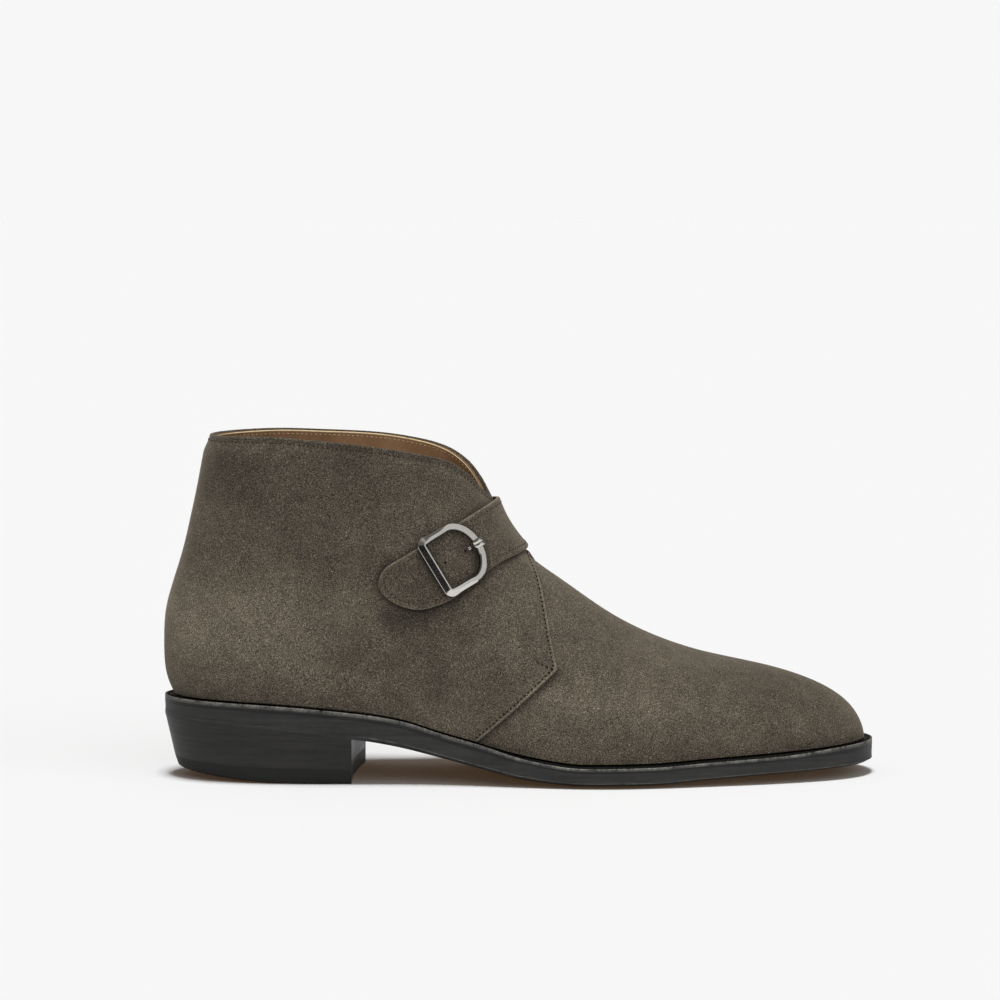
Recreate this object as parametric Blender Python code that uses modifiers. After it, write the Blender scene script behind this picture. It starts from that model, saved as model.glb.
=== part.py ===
"""A suede ankle boot for the right foot: one strap over the instep, a D-shaped buckle, a stacked heel.

Sizes are in millimetres. A station is measured from the back of the sole towards the toe (+X),
the outer side of the foot is at -Y, and heights are above the floor.
"""

import math

import bmesh
import bpy
import numpy as np
from mathutils import Matrix, Vector

METRES = 0.001

# Driving sizes
SOLE_LENGTH = 302.0
GAP = 0.3
UPPER_WALL = 2.0
LAYER_GAP = 0.55
QUARTER_THICKNESS = 1.2
STRAP_THICKNESS = 1.4
WELT_THICKNESS = 3.0
WELT_WIDTH = 12.0
WELT_SHOWS = 3.2
EDGE_ROUNDING = 0.9
SOLE_CROWN = 1.2
CROWN_WIDTH = 13.0
CROWN_START = 100.0
CROWN_LENGTH = 50.0
INSOLE_THICKNESS = 2.6
INSOLE_INSET = 6.4
INSOLE_END_INSET = 8.8
HEEL_LENGTH = 80.6
HEEL_BREAST_SKEW = 3.6
HEEL_BACK_SLANT = 5.5
HEEL_FLAT_STATION = 60.0
HEEL_REAR_RISE = 4.9
HEEL_RISE_POWER = 1.8
HEEL_SIDE_TAPER = 2.4
HEEL_BREAST_HOLLOW = 1.5
TOP_LIFT = 6.5
END_ROUND = 15.0
BACK_SEAM_HALF_ANGLE = 0.006
THROAT_HALF_ANGLE = 0.03
STRAP_TIP_STATION = 93.5
STRAP_TIP_RADIUS = 10.5
STRAP_ROOT_STATION = 112.0
STRAP_LIFT = 1.8
STRAP_LIFT_LENGTH = 24.0
STRAP_TIP_TURN = 0.25
INSTEP_RADIUS = 30.0
BUCKLE_STATION = 123.1
BUCKLE_RAISE = 1.7
BUCKLE_TURN = -1.8
BUCKLE_LENGTH = 24.9
BUCKLE_WIDTH = 27.9
BUCKLE_SHOULDER = 1.6
BUCKLE_BAND = 3.2
BUCKLE_THICKNESS = 2.0
BUCKLE_CLEAR = 4.5
PRONG_RADIUS = 0.9
PRONG_ROOT = 5.0

# How finely the pieces are divided
ROUND_COUNT = 60
LEVEL_COUNT = 22
QUARTER_COLUMNS = 23
QUARTER_LOW_LEVEL = 0.012
QUARTER_LEVELS = (6, 10, 5)
STRAP_TIP_ROWS = 6
STRAP_ROWS = 20
STRAP_COLUMNS = 6
HEEL_COLUMNS = 15
BREAST_COLUMNS = 6
BUCKLE_ARC_STEPS = 14


def table(names, rows):
    """The columns of a table by name."""
    return dict(zip(names.split(), np.array(rows, float).T))


# Outline of the sole seen from above
FOOTPRINT = table(
    "station centre half",
    (
        (0, -2.0, 0.0),
        (10, -2.0, 18.5),
        (40, -2.0, 30.3),
        (83, -2.2, 31.6),
        (118, -4.2, 30.0),
        (150, -4.0, 36.5),
        (180, -0.2, 45.2),
        (205, 3.2, 47.0),
        (230, 5.2, 43.8),
        (255, 5.8, 38.2),
        (280, 5.6, 28.8),
        (293, 5.2, 19.8),
        (SOLE_LENGTH, 5.0, 0.0),
    ),
)

# Side of the sole: heel seat, arch, flat tread, toe spring
SOLE_SIDE = table(
    "station top bottom",
    (
        (0, 34.7, 26.6),
        (40, 33.5, 24.0),
        (83, 29.9, 18.8),
        (101, 26.9, 15.5),
        (118, 21.7, 10.9),
        (135, 17.2, 6.1),
        (152, 13.0, 2.1),
        (178, 9.7, 0.0),
        (206, 9.9, 0.0),
        (228, 11.1, 1.3),
        (250, 12.1, 2.4),
        (275, 13.3, 3.2),
        (SOLE_LENGTH, 14.8, 3.9),
    ),
)

# Rings round the upper from the sole to the collar, each through a point of the back and one of the
# ridge. Heel, waist, ball and toe are half widths, sole_share is how much of the sole's outline a ring
# keeps, swell how far it stands out, dip how far it follows the sole and crest how far the collar.
RINGS = table(
    "back_x back_z front_x front_z heel waist ball toe sole_share swell ridge_y dip crest",
    (
        (6.0, 35.0, 298.6, 15.1, 50.0, 31.0, 48.0, 44.0, 1.00, 0.0, 5.0, 1.00, 0.00),
        (2.8, 43.2, 297.4, 20.7, 54.0, 35.0, 49.0, 43.0, 0.80, 1.0, 5.0, 0.82, 0.00),
        (1.9, 52.2, 292.3, 28.9, 56.0, 36.5, 50.0, 40.0, 0.50, 1.0, 5.2, 0.60, 0.00),
        (2.0, 61.2, 280.0, 37.5, 53.0, 36.5, 44.5, 40.0, 0.25, 0.6, 5.4, 0.40, 0.00),
        (2.8, 70.7, 258.5, 44.9, 49.5, 35.6, 39.4, 35.0, 0.08, 0.0, 5.6, 0.22, 0.00),
        (5.1, 80.2, 233.0, 50.3, 45.0, 34.0, 36.4, 34.5, 0.00, 0.0, 5.6, 0.10, 0.00),
        (8.0, 90.2, 210.0, 57.8, 41.5, 32.8, 34.6, 34.0, 0.00, 0.0, 5.2, 0.03, 0.00),
        (10.8, 100.2, 190.0, 67.8, 40.0, 32.2, 32.8, 33.0, 0.00, 0.0, 4.4, 0.00, 0.05),
        (13.4, 110.7, 170.0, 81.7, 38.5, 31.9, 31.5, 31.5, 0.00, 0.0, 3.2, 0.00, 0.20),
        (15.8, 121.7, 154.6, 92.9, 38.0, 32.0, 30.2, 30.0, 0.00, 0.0, 2.0, 0.00, 0.45),
        (18.0, 133.2, 143.9, 106.4, 39.0, 33.0, 30.5, 29.0, 0.00, 0.0, 1.0, 0.00, 0.75),
        (20.3, 144.7, 139.0, 117.6, 40.0, 34.0, 32.0, 28.5, 0.00, 0.0, 0.0, 0.00, 1.00),
    ),
)

# Where along a ring the four half widths hold, as shares of its length
WIDTH_PLACES = {"heel": 0.06, "waist": 0.36, "ball": 0.68, "toe": 0.94}

# Top edge of the collar on the outer and the inner side
COLLAR = table(
    "station outer inner",
    (
        (20.3, 144.7, 144.7),
        (45.0, 145.1, 145.1),
        (67.0, 143.7, 144.3),
        (88.0, 141.3, 143.3),
        (110.0, 137.4, 140.4),
        (120.5, 134.6, 137.4),
        (129.0, 128.6, 132.1),
        (134.5, 122.2, 125.6),
        (139.0, 117.6, 117.6),
    ),
)

# Front edge of the quarters, from the welt to its corner and up to the ridge
SEAM = table(
    "height station",
    (
        (15.0, 129.6),
        (48.4, 166.7),
        (60.3, 164.2),
        (75.9, 161.2),
        (84.5, 159.0),
        (93.0, 154.6),
    ),
)
SEAM_CORNER = 1

# Lower and upper edge of the strap seen from the side
STRAP_EDGES = table(
    "station lower upper",
    (
        (90, 69.9, 88.9),
        (106, 72.7, 97.8),
        (125, 79.2, 109.2),
        (138, 89.3, 116.6),
        (154.5, 95.3, 124.8),
    ),
)


def natural_spline(knots, values):
    """A smooth curve through the values, free of bend at both ends."""
    count = len(knots)
    gaps = np.diff(knots)
    slopes = np.diff(values) / gaps
    matrix = np.eye(count)
    bends = np.zeros(count)
    for i in range(1, count - 1):
        matrix[i, i - 1 : i + 2] = gaps[i - 1], 2 * (gaps[i - 1] + gaps[i]), gaps[i]
        bends[i] = 6 * (slopes[i] - slopes[i - 1])
    bends = np.linalg.solve(matrix, bends)

    def curve(at):
        i = np.clip(np.searchsorted(knots, at) - 1, 0, count - 2)
        gap = gaps[i]
        left = at - knots[i]
        right = knots[i + 1] - at
        cubic = (bends[i] * right**3 + bends[i + 1] * left**3) / (6 * gap)
        start = (values[i] / gap - bends[i] * gap / 6) * right
        end = (values[i + 1] / gap - bends[i + 1] * gap / 6) * left
        return cubic + start + end

    return curve


def level_spline(knots, values):
    """A smooth curve through the values that never overshoots and stays flat between equal ones."""
    count = len(knots)
    gaps = np.diff(knots)
    slopes = np.diff(values) / gaps
    tangents = np.zeros(count)
    tangents[0], tangents[-1] = slopes[0], slopes[-1]
    for i in range(1, count - 1):
        before, after = slopes[i - 1], slopes[i]
        if before * after > 0:
            near, far = 2 * gaps[i] + gaps[i - 1], gaps[i] + 2 * gaps[i - 1]
            tangents[i] = (near + far) / (near / before + far / after)

    def curve(at):
        i = np.clip(np.searchsorted(knots, at) - 1, 0, count - 2)
        u = (at - knots[i]) / gaps[i]
        start = values[i] * (1 + 2 * u) * (1 - u) ** 2 + tangents[i] * gaps[i] * u * (1 - u) ** 2
        end = values[i + 1] * u**2 * (3 - 2 * u) + tangents[i + 1] * gaps[i] * u**2 * (u - 1)
        return start + end

    return curve


def solve(rising, low, high):
    """Where a rising function crosses zero, or the nearer end of the range."""
    for _ in range(40):
        middle = (low + high) / 2
        below = rising(middle) < 0
        low = np.where(below, middle, low)
        high = np.where(below, high, middle)
    return (low + high) / 2


def between(start, end, share):
    return start + (end - start) * share


FOOT_ANGLES = np.arccos(1 - 2 * FOOTPRINT["station"] / SOLE_LENGTH)
FOOT_HALF = natural_spline(FOOT_ANGLES, FOOTPRINT["half"])
FOOT_CENTRE = natural_spline(FOOT_ANGLES, FOOTPRINT["centre"])
SOLE_TOP = level_spline(SOLE_SIDE["station"], SOLE_SIDE["top"])
SOLE_BOTTOM = level_spline(SOLE_SIDE["station"], SOLE_SIDE["bottom"])
RING_LEVELS = np.linspace(0, 1, len(RINGS["back_x"]))
RING_CURVES = {name: natural_spline(RING_LEVELS, column) for name, column in RINGS.items()}
COLLAR_OUTER = level_spline(COLLAR["station"], COLLAR["outer"])
COLLAR_INNER = level_spline(COLLAR["station"], COLLAR["inner"])
STRAP_LOWER = natural_spline(STRAP_EDGES["station"], STRAP_EDGES["lower"])
STRAP_UPPER = natural_spline(STRAP_EDGES["station"], STRAP_EDGES["upper"])


def foot_half(along, inset):
    """Half width of the sole's outline, moved in by inset, at a share of its length."""
    half = FOOT_HALF(np.arccos(1 - 2 * along))
    return half - inset * half / np.hypot(half, END_ROUND)


def foot_centre(along):
    return FOOT_CENTRE(np.arccos(1 - 2 * along))


def share_along(angle):
    """How far from heel to toe a point at this angle lies; 0 to pi is the outer side."""
    return np.clip((1 - np.cos(angle)) / 2, 0, 1)


def sole_outline(angle, inset, end_inset):
    """Station and Y of the sole's outline, moved in at its sides and at heel and toe."""
    along = share_along(angle)
    station = between(end_inset, SOLE_LENGTH - end_inset, along)
    y = foot_centre(along) - np.sign(np.sin(angle)) * foot_half(along, inset)
    return station, y


def ring_fullness(ring, along):
    """Half width of a ring before its ends are rounded, through the four widths of its row."""
    total = 0
    for name, place in WIDTH_PLACES.items():
        weight = 1
        for other in WIDTH_PLACES.values():
            if other != place:
                weight = weight * (along - other) / (place - other)
        total = total + ring[name] * weight
    return total


def ring_height(ring, along, side):
    """Height along a ring: a straight line from back to ridge, the sole's dip and the collar's crest."""
    first = {name: column[0] for name, column in RINGS.items()}
    last = {name: column[-1] for name, column in RINGS.items()}
    straight = between(ring["back_z"], ring["front_z"], along)
    sole = SOLE_TOP(between(first["back_x"], first["front_x"], along)) + GAP
    dip = sole - between(first["back_z"], first["front_z"], along)
    collar_at = between(last["back_x"], last["front_x"], along)
    inner_share = 0.5 - 0.5 * np.tanh(3 * side)
    collar = between(COLLAR_OUTER(collar_at), COLLAR_INNER(collar_at), inner_share)
    crest = collar - between(last["back_z"], last["front_z"], along)
    return straight + ring["dip"] * dip + ring["crest"] * crest


def upper_point(level, angle):
    """Outer face of the upper: level 0 is at the welt and 1 at the collar."""
    level, angle = np.broadcast_arrays(np.asarray(level, float), np.asarray(angle, float))
    ring = {name: curve(level) for name, curve in RING_CURVES.items()}
    along = share_along(angle)
    side = np.sin(angle)
    swell = ring["swell"] * np.tanh(3 * side)
    outline = np.sign(side) * foot_half(along, WELT_SHOWS) + swell
    rounded = side * ring_fullness(ring, along)
    heel_y = FOOTPRINT["centre"][0]
    centre = between(between(heel_y, ring["ridge_y"], along), foot_centre(along), ring["sole_share"])
    y = centre - between(rounded, outline, ring["sole_share"])
    x = between(ring["back_x"], ring["front_x"], along)
    return np.stack([x, y, ring_height(ring, along, side)], axis=-1)


def upper_normal(level, angle):
    """Direction out of the upper's face."""
    step = 1e-3
    low, high = np.clip(level - step, 0, 1), np.clip(level + step, 0, 1)
    up = upper_point(high, angle) - upper_point(low, angle)
    round_ = upper_point(level, angle + step) - upper_point(level, angle - step)
    normal = np.cross(round_, up)
    return normal / np.linalg.norm(normal, axis=-1, keepdims=True)


def above_upper(level, angle, offset):
    """A point at this distance above the upper's face."""
    offset = np.asarray(offset, float)[..., None]
    return upper_point(level, angle) + offset * upper_normal(level, angle)


def place_on_side(station, height):
    """Level and angle of the outer side's point that has this station and height."""

    def angle_at(level):
        back, front = RING_CURVES["back_x"](level), RING_CURVES["front_x"](level)
        return np.arccos(np.clip(1 - 2 * (station - back) / (front - back), -1, 1))

    level = solve(lambda at: upper_point(at, angle_at(at))[..., 2] - height, 0.0, 1.0)
    return level, angle_at(level)


PARTS = None
FRAME = None


def start_scene():
    """Clears the scene and makes the collection and the empty that hold the boot, over its middle."""
    global PARTS, FRAME
    for item in list(bpy.data.objects):
        bpy.data.objects.remove(item)
    PARTS = bpy.data.collections.new("suede_boot")
    bpy.context.scene.collection.children.link(PARTS)
    FRAME = bpy.data.objects.new("boot_frame", None)
    _, side = sole_outline(round_angles(ROUND_COUNT), 0, 0)
    middle = (side.min() + side.max()) / 2
    FRAME.location = (-SOLE_LENGTH / 2 * METRES, -middle * METRES, 0)
    PARTS.objects.link(FRAME)


def material(name, colour, roughness, metallic=0.0):
    made = bpy.data.materials.get(name) or bpy.data.materials.new(name)
    made.use_nodes = True
    shader = made.node_tree.nodes["Principled BSDF"]
    shader.inputs["Base Color"].default_value = (*colour, 1)
    shader.inputs["Roughness"].default_value = roughness
    shader.inputs["Metallic"].default_value = metallic
    return made


def suede():
    return material("suede", (0.19, 0.165, 0.145), 0.95)


def sole_black():
    return material("sole_black", (0.012, 0.012, 0.013), 0.45)


def rubber():
    return material("rubber", (0.014, 0.014, 0.014), 0.7)


def insole_leather():
    return material("insole_leather", (0.33, 0.2, 0.11), 0.6)


def nickel():
    return material("nickel", (0.62, 0.6, 0.56), 0.18, 1.0)


def add_part(name, data, finish):
    """Puts a mesh or curve into the boot's collection, under its frame."""
    data.materials.append(finish)
    part = bpy.data.objects.new(name, data)
    PARTS.objects.link(part)
    part.parent = FRAME
    return part


def grid_mesh(name, points, closed=False):
    """A smooth mesh of quads through a grid of points, joined round its rows where closed."""
    rows, columns = points.shape[:2]
    form = bmesh.new()
    vertices = [form.verts.new(point) for point in points.reshape(-1, 3) * METRES]
    for row in range(rows - 1):
        for column in range(columns if closed else columns - 1):
            after = (column + 1) % columns
            corners = ((row, column), (row, after), (row + 1, after), (row + 1, column))
            form.faces.new([vertices[r * columns + c] for r, c in corners])
    mesh = bpy.data.meshes.new(name)
    form.to_mesh(mesh)
    form.free()
    mesh.shade_smooth()
    return mesh


def add_skin(name, points, thickness, outward, finish, closed=False):
    """A sheet through a grid of points, thickened outward or inward."""
    part = add_part(name, grid_mesh(name, points, closed), finish)
    shell = part.modifiers.new("wall", "SOLIDIFY")
    shell.thickness = thickness * METRES
    shell.offset = 1 if outward else -1
    shell.use_even_offset = True
    return part


def add_plate(name, rings, finish, rungs=None, smooth_angle=40):
    """A closed body through outlines from bottom to top, capped across from side to side.

    Each outline is a list of points whose second half mirrors the first in station, so that
    the caps are rungs between points at the same station. Where only some rungs are asked for,
    one face closes the rest of each cap.
    """
    rings = np.array(rings)
    mesh = grid_mesh(name, rings, closed=True)
    form = bmesh.new()
    form.from_mesh(mesh)
    form.verts.ensure_lookup_table()
    count = rings.shape[1]
    rungs = rungs or count // 2
    loops = [(near, near + 1, count - near - 1, (count - near) % count) for near in range(rungs)]
    loops.append(range(rungs, count - rungs + 1))
    for start, upward in ((0, False), ((len(rings) - 1) * count, True)):
        for loop in loops:
            corners = list(dict.fromkeys(loop))
            if len(corners) < 3:
                continue
            face = form.faces.new([form.verts[start + corner] for corner in corners])
            face.smooth = True
            face.normal_update()
            if (face.normal.z > 0) != upward:
                face.normal_flip()
    bmesh.ops.recalc_face_normals(form, faces=form.faces)
    form.to_mesh(mesh)
    form.free()
    mesh.set_sharp_from_angle(angle=math.radians(smooth_angle))
    return add_part(name, mesh, finish)


def round_angles(count):
    return np.arange(count) * 2 * math.pi / count


def sole_ring(inset, height, end_inset=None):
    """The sole's outline at an inset, at the height that a function of the station gives."""
    end_inset = inset if end_inset is None else end_inset
    station, y = sole_outline(round_angles(ROUND_COUNT), inset, end_inset)
    return np.stack([station, y, height(station)], axis=-1)


def sole_crown(station):
    """How far the sole's rim stands above its middle; nothing over the heel."""
    share = np.clip((station - CROWN_START) / CROWN_LENGTH, 0, 1)
    return SOLE_CROWN * share**2 * (3 - 2 * share)


def build_outsole():
    """The sole under the welt: flat in the middle, its rim raised a little and its edge rounded."""

    def side(share):
        def height(x):
            return between(SOLE_BOTTOM(x) + sole_crown(x), SOLE_TOP(x) - WELT_THICKNESS - GAP, share)

        return height

    rings = [
        sole_ring(CROWN_WIDTH, SOLE_BOTTOM),
        sole_ring(EDGE_ROUNDING, side(0)),
        sole_ring(0, side(0.2)),
        sole_ring(0, side(0.85)),
        sole_ring(EDGE_ROUNDING / 2, side(1)),
    ]
    add_plate("outsole", rings, sole_black())


def build_welt():
    """The strip between upper and outsole, round the whole outline."""

    def top(x):
        return SOLE_TOP(x)

    def bottom(x):
        return SOLE_TOP(x) - WELT_THICKNESS

    loop = [
        sole_ring(WELT_WIDTH, bottom),
        sole_ring(EDGE_ROUNDING / 2, bottom),
        sole_ring(0, lambda x: between(bottom(x), top(x), 0.5)),
        sole_ring(EDGE_ROUNDING / 2, top),
        sole_ring(WELT_WIDTH, top),
    ]
    mesh = grid_mesh("welt", np.array(loop + loop[:1]), closed=True)
    form = bmesh.new()
    form.from_mesh(mesh)
    bmesh.ops.remove_doubles(form, verts=form.verts, dist=GAP / 10 * METRES)
    bmesh.ops.recalc_face_normals(form, faces=form.faces)
    form.to_mesh(mesh)
    form.free()
    mesh.set_sharp_from_angle(angle=math.radians(40))
    add_part("welt", mesh, sole_black())


def build_insole():
    """The board inside the upper, on the welt's inner edge."""

    def bottom(x):
        return SOLE_TOP(x) + GAP

    rings = [
        sole_ring(INSOLE_INSET, bottom, INSOLE_END_INSET),
        sole_ring(INSOLE_INSET, lambda x: bottom(x) + INSOLE_THICKNESS, INSOLE_END_INSET),
    ]
    add_plate("insole", rings, insole_leather())


def heel_ring(lowered, height):
    """The heel's outline; lowered is 0 at its seat and 1 at the floor."""
    back = lowered * HEEL_BACK_SLANT
    inset = EDGE_ROUNDING + lowered * HEEL_SIDE_TAPER
    front = math.acos(1 - 2 * HEEL_LENGTH / SOLE_LENGTH)
    along = share_along(np.linspace(0, front, HEEL_COLUMNS))
    share = along / along[-1]
    centre, half = foot_centre(along), foot_half(along, inset)
    outer_x = between(back, HEEL_LENGTH, share)
    inner_x = between(back, HEEL_LENGTH + HEEL_BREAST_SKEW, share)
    outer = np.stack([outer_x, centre - half, height(outer_x)], axis=-1)
    inner = np.stack([inner_x, centre + half, height(inner_x)], axis=-1)
    across = np.linspace(0, 1, BREAST_COLUMNS + 1)[1:-1]
    hollow = HEEL_LENGTH + HEEL_BREAST_SKEW * across - HEEL_BREAST_HOLLOW * 4 * across * (1 - across)
    breast_y = between(outer[-1, 1], inner[-1, 1], across)
    breast = np.stack([hollow, breast_y, height(hollow)], axis=-1)
    return np.concatenate([outer, breast, inner[:0:-1]])


def heel_rise(station):
    """How far the heel's underside lifts off the floor towards the back."""
    share = np.clip((HEEL_FLAT_STATION - station) / HEEL_FLAT_STATION, 0, 1)
    return HEEL_REAR_RISE * share**HEEL_RISE_POWER


def add_heel_piece(name, low, high, finish):
    """A slice of the heel between two heights, each given as a share lowered and a function."""
    add_plate(name, [heel_ring(*low), heel_ring(*high)], finish, rungs=HEEL_COLUMNS - 2)


def build_heel():
    """The stack of leather lifts and the rubber lift under it."""
    lift_share = 1 - TOP_LIFT / SOLE_BOTTOM(HEEL_LENGTH / 2)
    floor = (1.0, heel_rise)
    lift_top = (lift_share, lambda x: TOP_LIFT + heel_rise(x) / 2)
    stack_low = (lift_share, lambda x: TOP_LIFT + GAP + heel_rise(x) / 2)
    seat = (0.0, lambda x: SOLE_BOTTOM(x) - GAP)
    add_heel_piece("heel_top_lift", floor, lift_top, rubber())
    add_heel_piece("heel_stack", stack_low, seat, sole_black())


def build_upper():
    """The lasted upper: one wall, open at the collar and underneath."""
    levels = np.linspace(0, 1, LEVEL_COUNT)[:, None]
    points = upper_point(levels, round_angles(ROUND_COUNT)[None, :])
    add_skin("upper", points, UPPER_WALL, False, suede(), closed=True)


def quarter_levels():
    """Levels of the quarter's rows: one runs through the seam's corner and one meets the ridge."""
    corner, _ = place_on_side(SEAM["station"][SEAM_CORNER], SEAM["height"][SEAM_CORNER])
    ridge = solve(lambda at: RING_CURVES["front_z"](at) - SEAM["height"][-1], 0.0, 1.0)
    low, middle, high = (np.linspace(0, 1, count + 1) for count in QUARTER_LEVELS)
    rows = (
        between(QUARTER_LOW_LEVEL, corner, low[:-1]),
        between(corner, ridge, 1 - (1 - middle[:-1]) ** 2),
        between(ridge, 1, high),
    )
    return np.concatenate(rows)


def quarter_points():
    """The outer quarter's inner face, a grid from the back seam to its front edge."""
    levels = quarter_levels()

    def past_seam(angle):
        point = upper_point(levels, angle)
        return point[:, 0] - np.interp(point[:, 2], SEAM["height"], SEAM["station"])

    low = np.zeros(len(levels)) + BACK_SEAM_HALF_ANGLE
    front = solve(past_seam, low, low * 0 + math.pi - THROAT_HALF_ANGLE)
    shares = np.linspace(0, 1, QUARTER_COLUMNS)
    angles = between(BACK_SEAM_HALF_ANGLE, front[:, None], shares[None, :])
    return levels[:, None] + 0 * angles, angles


def build_quarters():
    """Outer and inner quarter, one layer above the upper."""
    levels, angles = quarter_points()
    outer = above_upper(levels, angles, LAYER_GAP + 0 * angles)
    inner = above_upper(levels, -angles, LAYER_GAP + 0 * angles)
    add_skin("quarter_lateral", outer, QUARTER_THICKNESS, True, suede())
    add_skin("quarter_medial", inner[:, ::-1], QUARTER_THICKNESS, True, suede())


def strap_edge_height(station, across):
    """Height at a share across the strap, 0 at its lower edge and 1 at its upper one."""
    return between(STRAP_LOWER(station), STRAP_UPPER(station), across)


def strap_rows():
    """Angle, share of the full width and lift of each row across the strap, from the tip on."""
    near, far = STRAP_EDGES["station"][1:3]
    rise = strap_edge_height(far, 0.5) - strap_edge_height(near, 0.5)
    run = (far - near) / math.hypot(far - near, rise)
    turn = np.linspace(STRAP_TIP_TURN, math.pi / 2, STRAP_TIP_ROWS)
    distance = STRAP_TIP_RADIUS * (1 - np.cos(turn))
    stations = STRAP_TIP_STATION + run * distance
    tip_angles = place_on_side(stations, strap_edge_height(stations, 0.5))[1]
    root = place_on_side(STRAP_ROOT_STATION, strap_edge_height(STRAP_ROOT_STATION, 0.5))[1]
    rest = np.linspace(tip_angles[-1], 2 * math.pi - root, STRAP_ROWS)[1:]
    angles = np.concatenate([tip_angles, rest])
    widths = np.concatenate([np.sin(turn), np.ones(len(rest))])
    step = (stations[-1] - STRAP_TIP_STATION) / run
    reach = np.concatenate([distance, step + (rest - tip_angles[-1]) * INSTEP_RADIUS])
    lift = STRAP_LIFT * np.clip(1 - reach / STRAP_LIFT_LENGTH, 0, 1) ** 2
    return angles, widths, lift


def strap_places(angles, widths):
    """Levels and angles of the strap's grid."""
    shares = np.linspace(-0.5, 0.5, STRAP_COLUMNS)
    angles = angles[:, None] + 0 * shares[None, :]
    across = 0.5 + widths[:, None] * shares[None, :]

    def over_edge(level):
        point = upper_point(level, angles)
        return point[..., 2] - strap_edge_height(point[..., 0], across)

    return solve(over_edge, 0 * angles, 0 * angles + 1), angles


def build_strap():
    """The strap over the instep, from its root on the inner side to the tip on the outer one."""
    rows, widths, lift = strap_rows()
    levels, angles = strap_places(rows, widths)
    base = LAYER_GAP + QUARTER_THICKNESS + GAP
    points = above_upper(levels, angles, base + lift[:, None] + 0 * angles)
    add_skin("strap", points[:, ::-1], STRAP_THICKNESS, True, suede())


def buckle_matrix():
    """The buckle's place: X along the strap towards the ridge, Z out of the boot."""
    ahead = BUCKLE_STATION + np.array([-1.0, 0.0, 1.0])
    levels, angles = place_on_side(ahead, strap_edge_height(ahead, 0.5) + BUCKLE_RAISE)
    points = above_upper(levels, angles, BUCKLE_CLEAR + 0 * ahead)
    along = Vector(points[2] - points[0]).normalized()
    out = Vector(upper_normal(levels, angles)[1])
    up = out.cross(along).normalized()
    axes = Matrix((along, up, along.cross(up))).transposed().to_4x4()
    turn = Matrix.Rotation(math.radians(BUCKLE_TURN), 4, "Z")
    return Matrix.Translation(Vector(points[1]) * METRES) @ axes @ turn


def buckle_outline(inset):
    """A D: a straight bar at the rear, two sides up to its shoulder and half an ellipse at the front."""
    end, half = BUCKLE_LENGTH / 2 - inset, BUCKLE_WIDTH / 2 - inset
    turns = np.linspace(-math.pi / 2, math.pi / 2, BUCKLE_ARC_STEPS)
    reach = end - BUCKLE_SHOULDER
    arc = [(BUCKLE_SHOULDER + reach * math.cos(turn), half * math.sin(turn)) for turn in turns]
    return [*arc, (-end, half), (-end, -half)]


def build_buckle_frame():
    data = bpy.data.curves.new("buckle_frame", "CURVE")
    data.dimensions = "2D"
    data.fill_mode = "BOTH"
    rounding = BUCKLE_THICKNESS / 6
    data.extrude = (BUCKLE_THICKNESS / 2 - rounding) * METRES
    data.bevel_depth = rounding * METRES
    data.bevel_resolution = 0
    for inset in (rounding, BUCKLE_BAND - rounding):
        outline = buckle_outline(inset)
        spline = data.splines.new("POLY")
        spline.points.add(len(outline) - 1)
        for point, (x, y) in zip(spline.points, outline):
            point.co = (x * METRES, y * METRES, 0, 1)
        spline.use_cyclic_u = True
    frame = add_part("buckle_frame", data, nickel())
    frame.matrix_local = buckle_matrix() @ Matrix.Translation((0, 0, BUCKLE_THICKNESS / 2 * METRES))


def build_buckle_prong():
    """The prong from the middle of the strap over the curved bar."""
    clear = PRONG_RADIUS + GAP
    front = BUCKLE_LENGTH / 2
    bar_top = BUCKLE_THICKNESS + clear
    strap_top = LAYER_GAP + QUARTER_THICKNESS + GAP + STRAP_THICKNESS - BUCKLE_CLEAR + clear
    route = (
        (PRONG_ROOT, strap_top),
        (front - BUCKLE_BAND - 2 * PRONG_RADIUS, strap_top + PRONG_RADIUS),
        (front - BUCKLE_BAND, bar_top),
        (front + GAP, bar_top),
        (front + clear + GAP, bar_top - clear),
    )
    data = bpy.data.curves.new("buckle_prong", "CURVE")
    data.dimensions = "3D"
    data.bevel_depth = PRONG_RADIUS * METRES
    data.bevel_resolution = 2
    data.use_fill_caps = True
    spline = data.splines.new("POLY")
    spline.points.add(len(route) - 1)
    for point, (x, z) in zip(spline.points, route):
        point.co = (x * METRES, 0, z * METRES, 1)
    prong = add_part("buckle_prong", data, nickel())
    prong.matrix_local = buckle_matrix()


def main():
    start_scene()
    build_outsole()
    build_welt()
    build_heel()
    build_insole()
    build_upper()
    build_quarters()
    build_strap()
    build_buckle_frame()
    build_buckle_prong()


main()
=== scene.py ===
"""The looks of the suede boot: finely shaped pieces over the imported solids, materials, light and camera.

Sizes are in millimetres. A station is measured from the back of the sole towards the toe (+X),
the outer side of the foot is at -Y, and heights are above the floor. A place on the upper has a
level, 0 at the welt and 1 at the collar, and an angle, 0 at the back and pi at the ridge.
"""

import math

import bmesh
import bpy
import numpy as np
from mathutils import Matrix, Vector


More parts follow.
